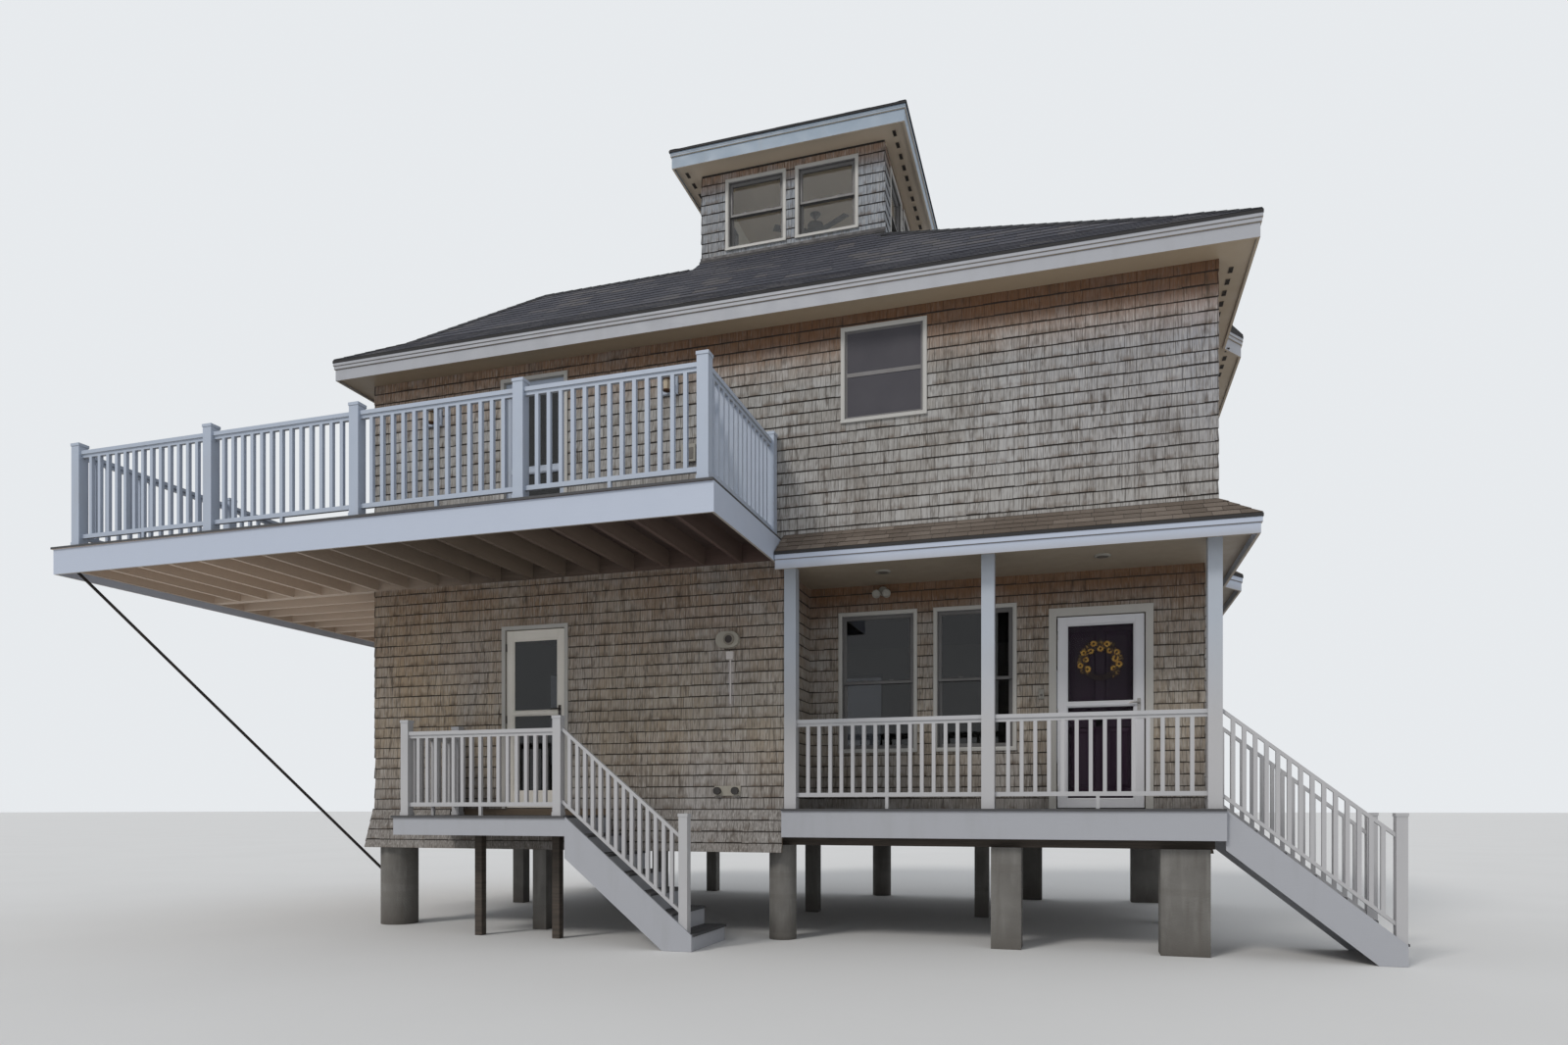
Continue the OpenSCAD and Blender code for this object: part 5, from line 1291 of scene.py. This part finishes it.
for z0, z1 in ((0.0, LOW_PANEL[0]), (LOW_PANEL[1], HIGH_PANEL[0]), (HIGH_PANEL[1], DOOR_H)):
    panel_door.board((FRONT_STILE, 0, z0), (right_x, FRONT_T, z1))
for x0, x1 in ((FRONT_STILE, mid_x - HALF_MULLION), (mid_x + HALF_MULLION, right_x)):
    for z0, z1 in (LOW_PANEL, HIGH_PANEL):
        w, h, middle = x1 - x0, z1 - z0, dict(x=(x0 + x1) / 2, z=(z0 + z1) / 2)
        panel_door.ring(w, h, [(0, 0.001), (0.012, 0.011), (0.012, FRONT_T - 0.004),
                               (0, FRONT_T - 0.004)], **middle)
        panel_door.ring(w - 0.024, h - 0.024,
                        [(0, 0.012), (0.008, 0.012), (0.040, 0.004), (0.050, 0.004),
                         (0.050, FRONT_T - 0.006), (0, FRONT_T - 0.006)], **middle)
        panel_door.board((x0 + 0.062, 0.004, z0 + 0.062), (x1 - 0.062, FRONT_T - 0.006, z1 - 0.062))
plum = clouded("plum_door", (0.020, 0.009, 0.020), 0.5, (0.034, 0.016, 0.034),
               ((8.0, 8.0, 1.5), 0.45, 0.75), 0.5, (8.0, 0.3, 0.5), Specular_IOR_Level=0.12)
piece = panel_door.made("front_door_panels", plum.done(), "front_door_leaf", "door_plum", edge=0.002)
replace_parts(piece, "front_door")
knob.beside(FRONT_W - 0.07, FRONT_T, 0.95).lathe(
    [(0.0, -0.001), (0.028, 0.0), (0.027, 0.006), (0.012, 0.010), (0.010, 0.020), (0.022, 0.026),
     (0.028, 0.034), (0.024, 0.042), (0.0, 0.045)], sides=32, axis="Y")
hinge_knuckles(knob.beside(0.0, FRONT_T, 0.0), 0.005, DOOR_H)
piece = knob.made("front_door_knob", door_metal, "front_door_leaf", "dark_metal", smooth=40)
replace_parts(piece, "front_door")

# Wreath
# A ring of twisted vine hung on the front door, with dry leaves and yellow cloth flowers wired
# round its upper part.
WREATH_PLACE = (3.823, PORCH_D + 0.080, 3.08)
RING, STRANDS, TURN_STEPS, LEAVES, FLOWERS, PETALS = 0.178, 14, 72, 150, 13, 12
vines, leaves, petals, hearts = Shape(), Shape(), Shape(), Shape()
put_all((vines, leaves, petals), *WREATH_PLACE)
draw = random.Random(7)
for s in range(STRANDS):
    phase, turns, spread = draw.uniform(0, 6.28), draw.choice((3, 4, 5)), draw.uniform(0.012, 0.022)
    points = []
    for i in range(TURN_STEPS):
        a = 2.0 * math.pi * i / TURN_STEPS
        twist = phase + turns * a
        r = RING + spread * 1.5 * math.cos(twist)
        points.append((r * math.cos(a), 0.9 * spread * math.sin(twist), r * math.sin(a)))
    vines.tube(points, (draw.uniform(0.0032, 0.0052),) * TURN_STEPS, sides=6, closed=True)
bark = clouded("vine", (0.034, 0.018, 0.020), 0.8, (0.075, 0.042, 0.034), (60.0, 0.45, 0.7), 0.6)
bark.bump(bark.noise(220.0), 0.0006, 0.6)
vines.made("wreath_vines", bark.done(), "front_door_leaf", smooth=60)


def blade(shape, base, tip, half):
    """Thin pointed leaf from base to tip, a little proud in the middle."""
    side = Vector((base.z - tip.z, 0.0, tip.x - base.x)).normalized() * half
    mid = base.lerp(tip, 0.55) + Vector((0.0, -0.003, 0.0))
    face = [base, mid - side, tip, mid + side]
    shape.add([*face, *[p + Vector((0.0, 0.0012, 0.0)) for p in face]],
              [(0, 1, 2, 3), (7, 6, 5, 4), (0, 4, 5, 1), (1, 5, 6, 2), (2, 6, 7, 3), (3, 7, 4, 0)])


def ray(angle, length, depth=0.0):
    return Vector((length * math.cos(angle), depth, length * math.sin(angle)))


for i in range(LEAVES):
    angle = math.radians(draw.uniform(-42.0, 222.0))
    base = ray(angle, RING + draw.uniform(-0.040, 0.030), draw.uniform(-0.008, 0.004))
    tip = base + ray(angle + draw.uniform(-1.3, 1.3), draw.uniform(0.035, 0.065))
    blade(leaves, base, tip, draw.uniform(0.008, 0.013))
for i in range(FLOWERS):
    out = RING + (0.030 if i % 2 else -0.024) + draw.uniform(-0.010, 0.010)
    center = ray(math.radians(-30.0 + i * 20.0), out, -0.014 - 0.004 * (i % 2))
    size = draw.uniform(0.034, 0.043)
    for k in range(PETALS):
        spin = 2.0 * math.pi * k / PETALS + draw.uniform(-0.1, 0.1)
        blade(petals, center + ray(spin, size * 0.18), center + ray(spin, size, draw.uniform(0.0, 0.006)),
              size * 0.27)
    hearts.put(*[a + b for a, b in zip(WREATH_PLACE, center)])
    hearts.lathe([(0.0, -0.008), (size * 0.25, -0.006), (size * 0.34, 0.0), (0.0, 0.004)],
                 sides=12, axis="Y")
dry = Finish("dry_leaves", (0.075, 0.048, 0.020), 0.85)
dry.tones((0.0, (0.040, 0.022, 0.014)), (0.5, (0.125, 0.074, 0.028)), (1.0, (0.27, 0.155, 0.045)))
leaves.made("wreath_leaves", dry.done(), "front_door_leaf")
yellow = Finish("cloth_petals", (0.62, 0.34, 0.06), 0.8)
yellow.tones((0.0, (0.30, 0.13, 0.028)), (0.5, (0.50, 0.26, 0.042)), (1.0, (0.68, 0.42, 0.09)))
yellow.bump(yellow.noise(180.0), 0.0004, 0.5)
petals.made("wreath_petals", yellow.done(), "front_door_leaf")
brown = clouded("flower_hearts", (0.040, 0.020, 0.014), 0.9, (0.085, 0.045, 0.025), (300.0, 0.45, 0.6), 0.6)
brown.bump(brown.noise(500.0), 0.001, 0.8)
hearts.made("wreath_hearts", brown.done(), "front_door_leaf", smooth=60)

# Brace
# A slender rod of dark painted steel, pinned under the balcony's outer corner and to the corner
# pier.
steel = clouded("dark_steel", (0.020, 0.017, 0.016), 0.6, (0.045, 0.032, 0.025), (7.0, 0.5, 0.75), 0.5,
                (12.0, 0.5, 0.7), Specular_IOR_Level=0.2)
dress(steel.done(), "balcony_brace", edge=0.0015)

# Ceiling fan
# A rod, a motor and three blades in dark bronze paint, hung from the cupola's ceiling. They show
# through its panes.
fan = clouded("fan_bronze", (0.038, 0.030, 0.025), 0.55, (0.060, 0.047, 0.038), (9.0, 0.45, 0.7), 0.5,
              (12.0, 0.5, 0.7))
dress(fan.done(), "fan_mount", "fan_blades", edge=0.0015)

# Lanterns
# Round porch lanterns on the balcony wall: a bronze cap, foot and four bars round a frosted
# chimney, on an arm from a white wiring block.
LANTERN_XS, LANTERN_Z, LANTERN_OUT = (-3.989, -0.856), 6.25, 0.10
blocks, frames, chimneys = Shape(), Shape(), Shape()
for x in LANTERN_XS:
    put_all((blocks, frames), x, 0.0, LANTERN_Z)
    blocks.ring(0.21, 0.21, [(0, 0), (0, -0.030), (0.010, -0.040), (0.105, -0.040), (0.105, 0)])
    frames.lathe([(0.0, -0.040), (0.050, -0.040), (0.046, -0.050), (0.0, -0.052)], sides=32, axis="Y")
    frames.tube([(0, -0.045, 0.045), (0, -0.062, 0.058), (0, -0.080, 0.056), (0, -0.098, 0.050)],
                (0.008,) * 4, sides=12)
    put_all((frames, chimneys), x, -LANTERN_OUT, LANTERN_Z)
    frames.lathe([(0.0, 0.095), (0.008, 0.092), (0.012, 0.085), (0.020, 0.080), (0.045, 0.062),
                  (0.064, 0.040), (0.066, 0.034), (0.0, 0.034)], sides=36)
    frames.lathe([(0.0, -0.095), (0.030, -0.092), (0.044, -0.085), (0.046, -0.074), (0.0, -0.074)],
                 sides=36)
    for i in range(4):
        a = math.pi * (0.25 + 0.5 * i)
        frames.tube([(0.043 * math.cos(a), 0.043 * math.sin(a), -0.078),
                     (0.052 * math.cos(a), 0.052 * math.sin(a), 0.036)], (0.003, 0.003), sides=8)
    chimneys.lathe([(0.0, -0.074), (0.036, -0.072), (0.042, -0.03), (0.045, 0.034), (0.0, 0.034)],
                   sides=32)
bronze = clouded("lantern_bronze", (0.115, 0.062, 0.034), 0.45, (0.05, 0.032, 0.02), (30.0, 0.45, 0.7), 0.6,
                 (20.0, 0.35, 0.6), Metallic=0.7)
frosted = clouded("lantern_chimney", (0.52, 0.44, 0.33), 0.35, (0.40, 0.32, 0.22), (14.0,))
for shape, name, material, smooth in ((frames, "lantern_frames", bronze.done(), 40),
                                      (chimneys, "lantern_chimneys", frosted.done(), 40),
                                      (blocks, "lantern_blocks", white_vinyl, None)):
    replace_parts(shape.made(name, material, slot="lantern", smooth=smooth), "wall_lanterns")

# Wall fittings
# Moulded plastic and cast housings, screwed on: a stone-coloured vent hood with a dark mouth, its
# pale conduit and two capped vents below, a covered outlet on the upper wall, a bell push, a twin
# floodlight and two ceiling lights.
HOOD_MOUTH = (-0.12, -0.09, 3.33)
stone = clouded("stone_fittings", (0.34, 0.315, 0.265), 0.6, (0.25, 0.228, 0.19),
                ((9.0, 9.0, 2.0), 0.5, 0.75), 0.5, (12.0, 0.5, 0.7))
hood_outlet = stone.math(stone.band(1, ORIGIN.y - 0.071, ORIGIN.y - 0.073), stone.band(2, 2.9, 3.0))
stone.tint((0.21, 0.185, 0.150), hood_outlet)
# A dark disc painted on the hood, as the shade inside its mouth.
mouth = stone.node("ShaderNodeVectorMath", operation="DISTANCE")
stone.link(stone.node("ShaderNodeTexCoord").outputs["Object"], mouth.inputs[0])
mouth.inputs[1].default_value = at(*HOOD_MOUTH)
stone.tint((0.030, 0.022, 0.020), stone.spread(mouth.outputs["Value"], 0.046, 0.040))
stone.tint((0.62, 0.575, 0.56), stone.zone(2, 2.5, 2.6, 3.20, 3.22), 0.8)
vent_caps = stone.math(stone.band(1, ORIGIN.y - 0.026, ORIGIN.y - 0.028), stone.band(2, 1.9, 1.8))
stone.tint((0.030, 0.027, 0.026), vent_caps)
dress(stone.done(), "meter_box", edge=0.003)

OUTLET, BELL = (-0.615, 0.0, 5.46), (3.194, PORCH_D, 2.735)
CEILING_LIGHTS, LIGHT_Y = (1.52, 3.83), 0.42
FLOOD_X, FLOOD_HEADS, FLOOD_TILT = 1.40, (-0.06, 0.06), math.radians(25.0)
extras, darks = Shape(), Shape()
put_all((extras, darks), *OUTLET)
extras.board((-0.085, -0.055, -0.10), (0.085, -0.012, 0.10), 0.006)
darks.board((-0.060, -0.060, -0.070), (0.060, -0.055, 0.055), 0.002)
put_all((extras, darks), *BELL)
extras.board((-0.028, -0.026, -0.055), (0.028, -0.010, 0.055), 0.004)
darks.beside(0.0, 0.0, -0.015).lathe([(0.0, -0.032), (0.012, -0.031), (0.014, -0.026), (0.0, -0.024)],
                                     16, "Y")
extras.put(FLOOD_X, PORCH_D, 4.0)
extras.lathe([(0.0, -0.045), (0.045, -0.045), (0.055, -0.030), (0.055, -0.010), (0.0, -0.010)], 24, "Y")
for side in FLOOD_HEADS:
    head = extras.beside(side, -0.05, -0.015).moved(Matrix.Rotation(FLOOD_TILT, 4, "X"))
    head.lathe([(0.0, 0.0), (0.030, -0.004), (0.040, -0.040), (0.048, -0.085), (0.050, -0.092),
                (0.044, -0.092), (0.038, -0.080), (0.0, -0.078)], 24, "Y")
for x in CEILING_LIGHTS:
    put_all((extras, darks), x, LIGHT_Y, PORCH_CEILING)
    extras.lathe([(0.0, -0.014), (0.074, -0.014), (0.082, -0.010), (0.088, 0.0), (0.0, 0.0)], 40)
    darks.lathe([(0.0, -0.018), (0.050, -0.0175), (0.060, -0.014), (0.0, -0.013)], 40)
pale = clouded("pale_fittings", (0.29, 0.275, 0.24), 0.5, (0.21, 0.197, 0.17), (11.0, 0.45, 0.75))
extras.made("pale_fittings", pale.done(), slot="fitting_plastic", smooth=35)
shade = clouded("dark_lenses", (0.085, 0.075, 0.065), 0.4, (0.13, 0.115, 0.095), (16.0,))
darks.made("dark_lenses", shade.done(), slot="fitting_plastic", smooth=35)

# Floor and light
# A pale studio floor meets a pale surround. A broad, soft key light comes from the front at the
# left and a level ambient light from all round.
floor_finish = Finish("studio_floor", (0.74, 0.74, 0.735), 0.9)
floor_finish.tint((0.71, 0.71, 0.705), floor_finish.noise(0.4), 0.5)
floor_mesh = bpy.data.meshes.new("studio_floor")
REACH, BELOW = 400.0, -0.002
floor_mesh.from_pydata([(-REACH, -REACH, BELOW), (REACH, -REACH, BELOW), (REACH, REACH, BELOW),
                        (-REACH, REACH, BELOW)], [], [(0, 1, 2, 3)])
floor_mesh.materials.append(floor_finish.done())
floor_piece = bpy.data.objects.new("studio_floor", floor_mesh)
bpy.context.scene.collection.objects.link(floor_piece)

sun_data = bpy.data.lights.new("key_light", "SUN")
sun_data.energy = 1.15
sun_data.angle = math.radians(14.0)
sun_data.color = (1.0, 0.965, 0.92)
sun = bpy.data.objects.new("key_light", sun_data)
sun.rotation_euler = (math.radians(50.0), 0.0, math.radians(-28.0))
bpy.context.scene.collection.objects.link(sun)

world = bpy.data.worlds.new("studio")
world.use_nodes = True
bpy.context.scene.world = world
tree = world.node_tree
background = tree.nodes["Background"]
background.inputs["Color"].default_value = (0.93, 0.96, 1.0, 1.0)
background.inputs["Strength"].default_value = 0.62
seen = tree.nodes.new("ShaderNodeBackground")
seen.inputs["Color"].default_value = (0.80, 0.825, 0.85, 1.0)
path = tree.nodes.new("ShaderNodeLightPath")
either = tree.nodes.new("ShaderNodeMath")
either.operation = "MAXIMUM"
both = tree.nodes.new("ShaderNodeMath")
both.operation = "MAXIMUM"
mix = tree.nodes.new("ShaderNodeMixShader")
link = tree.links.new
link(path.outputs["Is Camera Ray"], either.inputs[0])
link(path.outputs["Is Glossy Ray"], either.inputs[1])
link(either.outputs[0], both.inputs[0])
link(path.outputs["Is Transmission Ray"], both.inputs[1])
link(both.outputs[0], mix.inputs[0])
link(background.outputs[0], mix.inputs[1])
link(seen.outputs[0], mix.inputs[2])
link(mix.outputs[0], tree.nodes["World Output"].inputs["Surface"])

bpy.context.scene.view_settings.view_transform = "Standard"
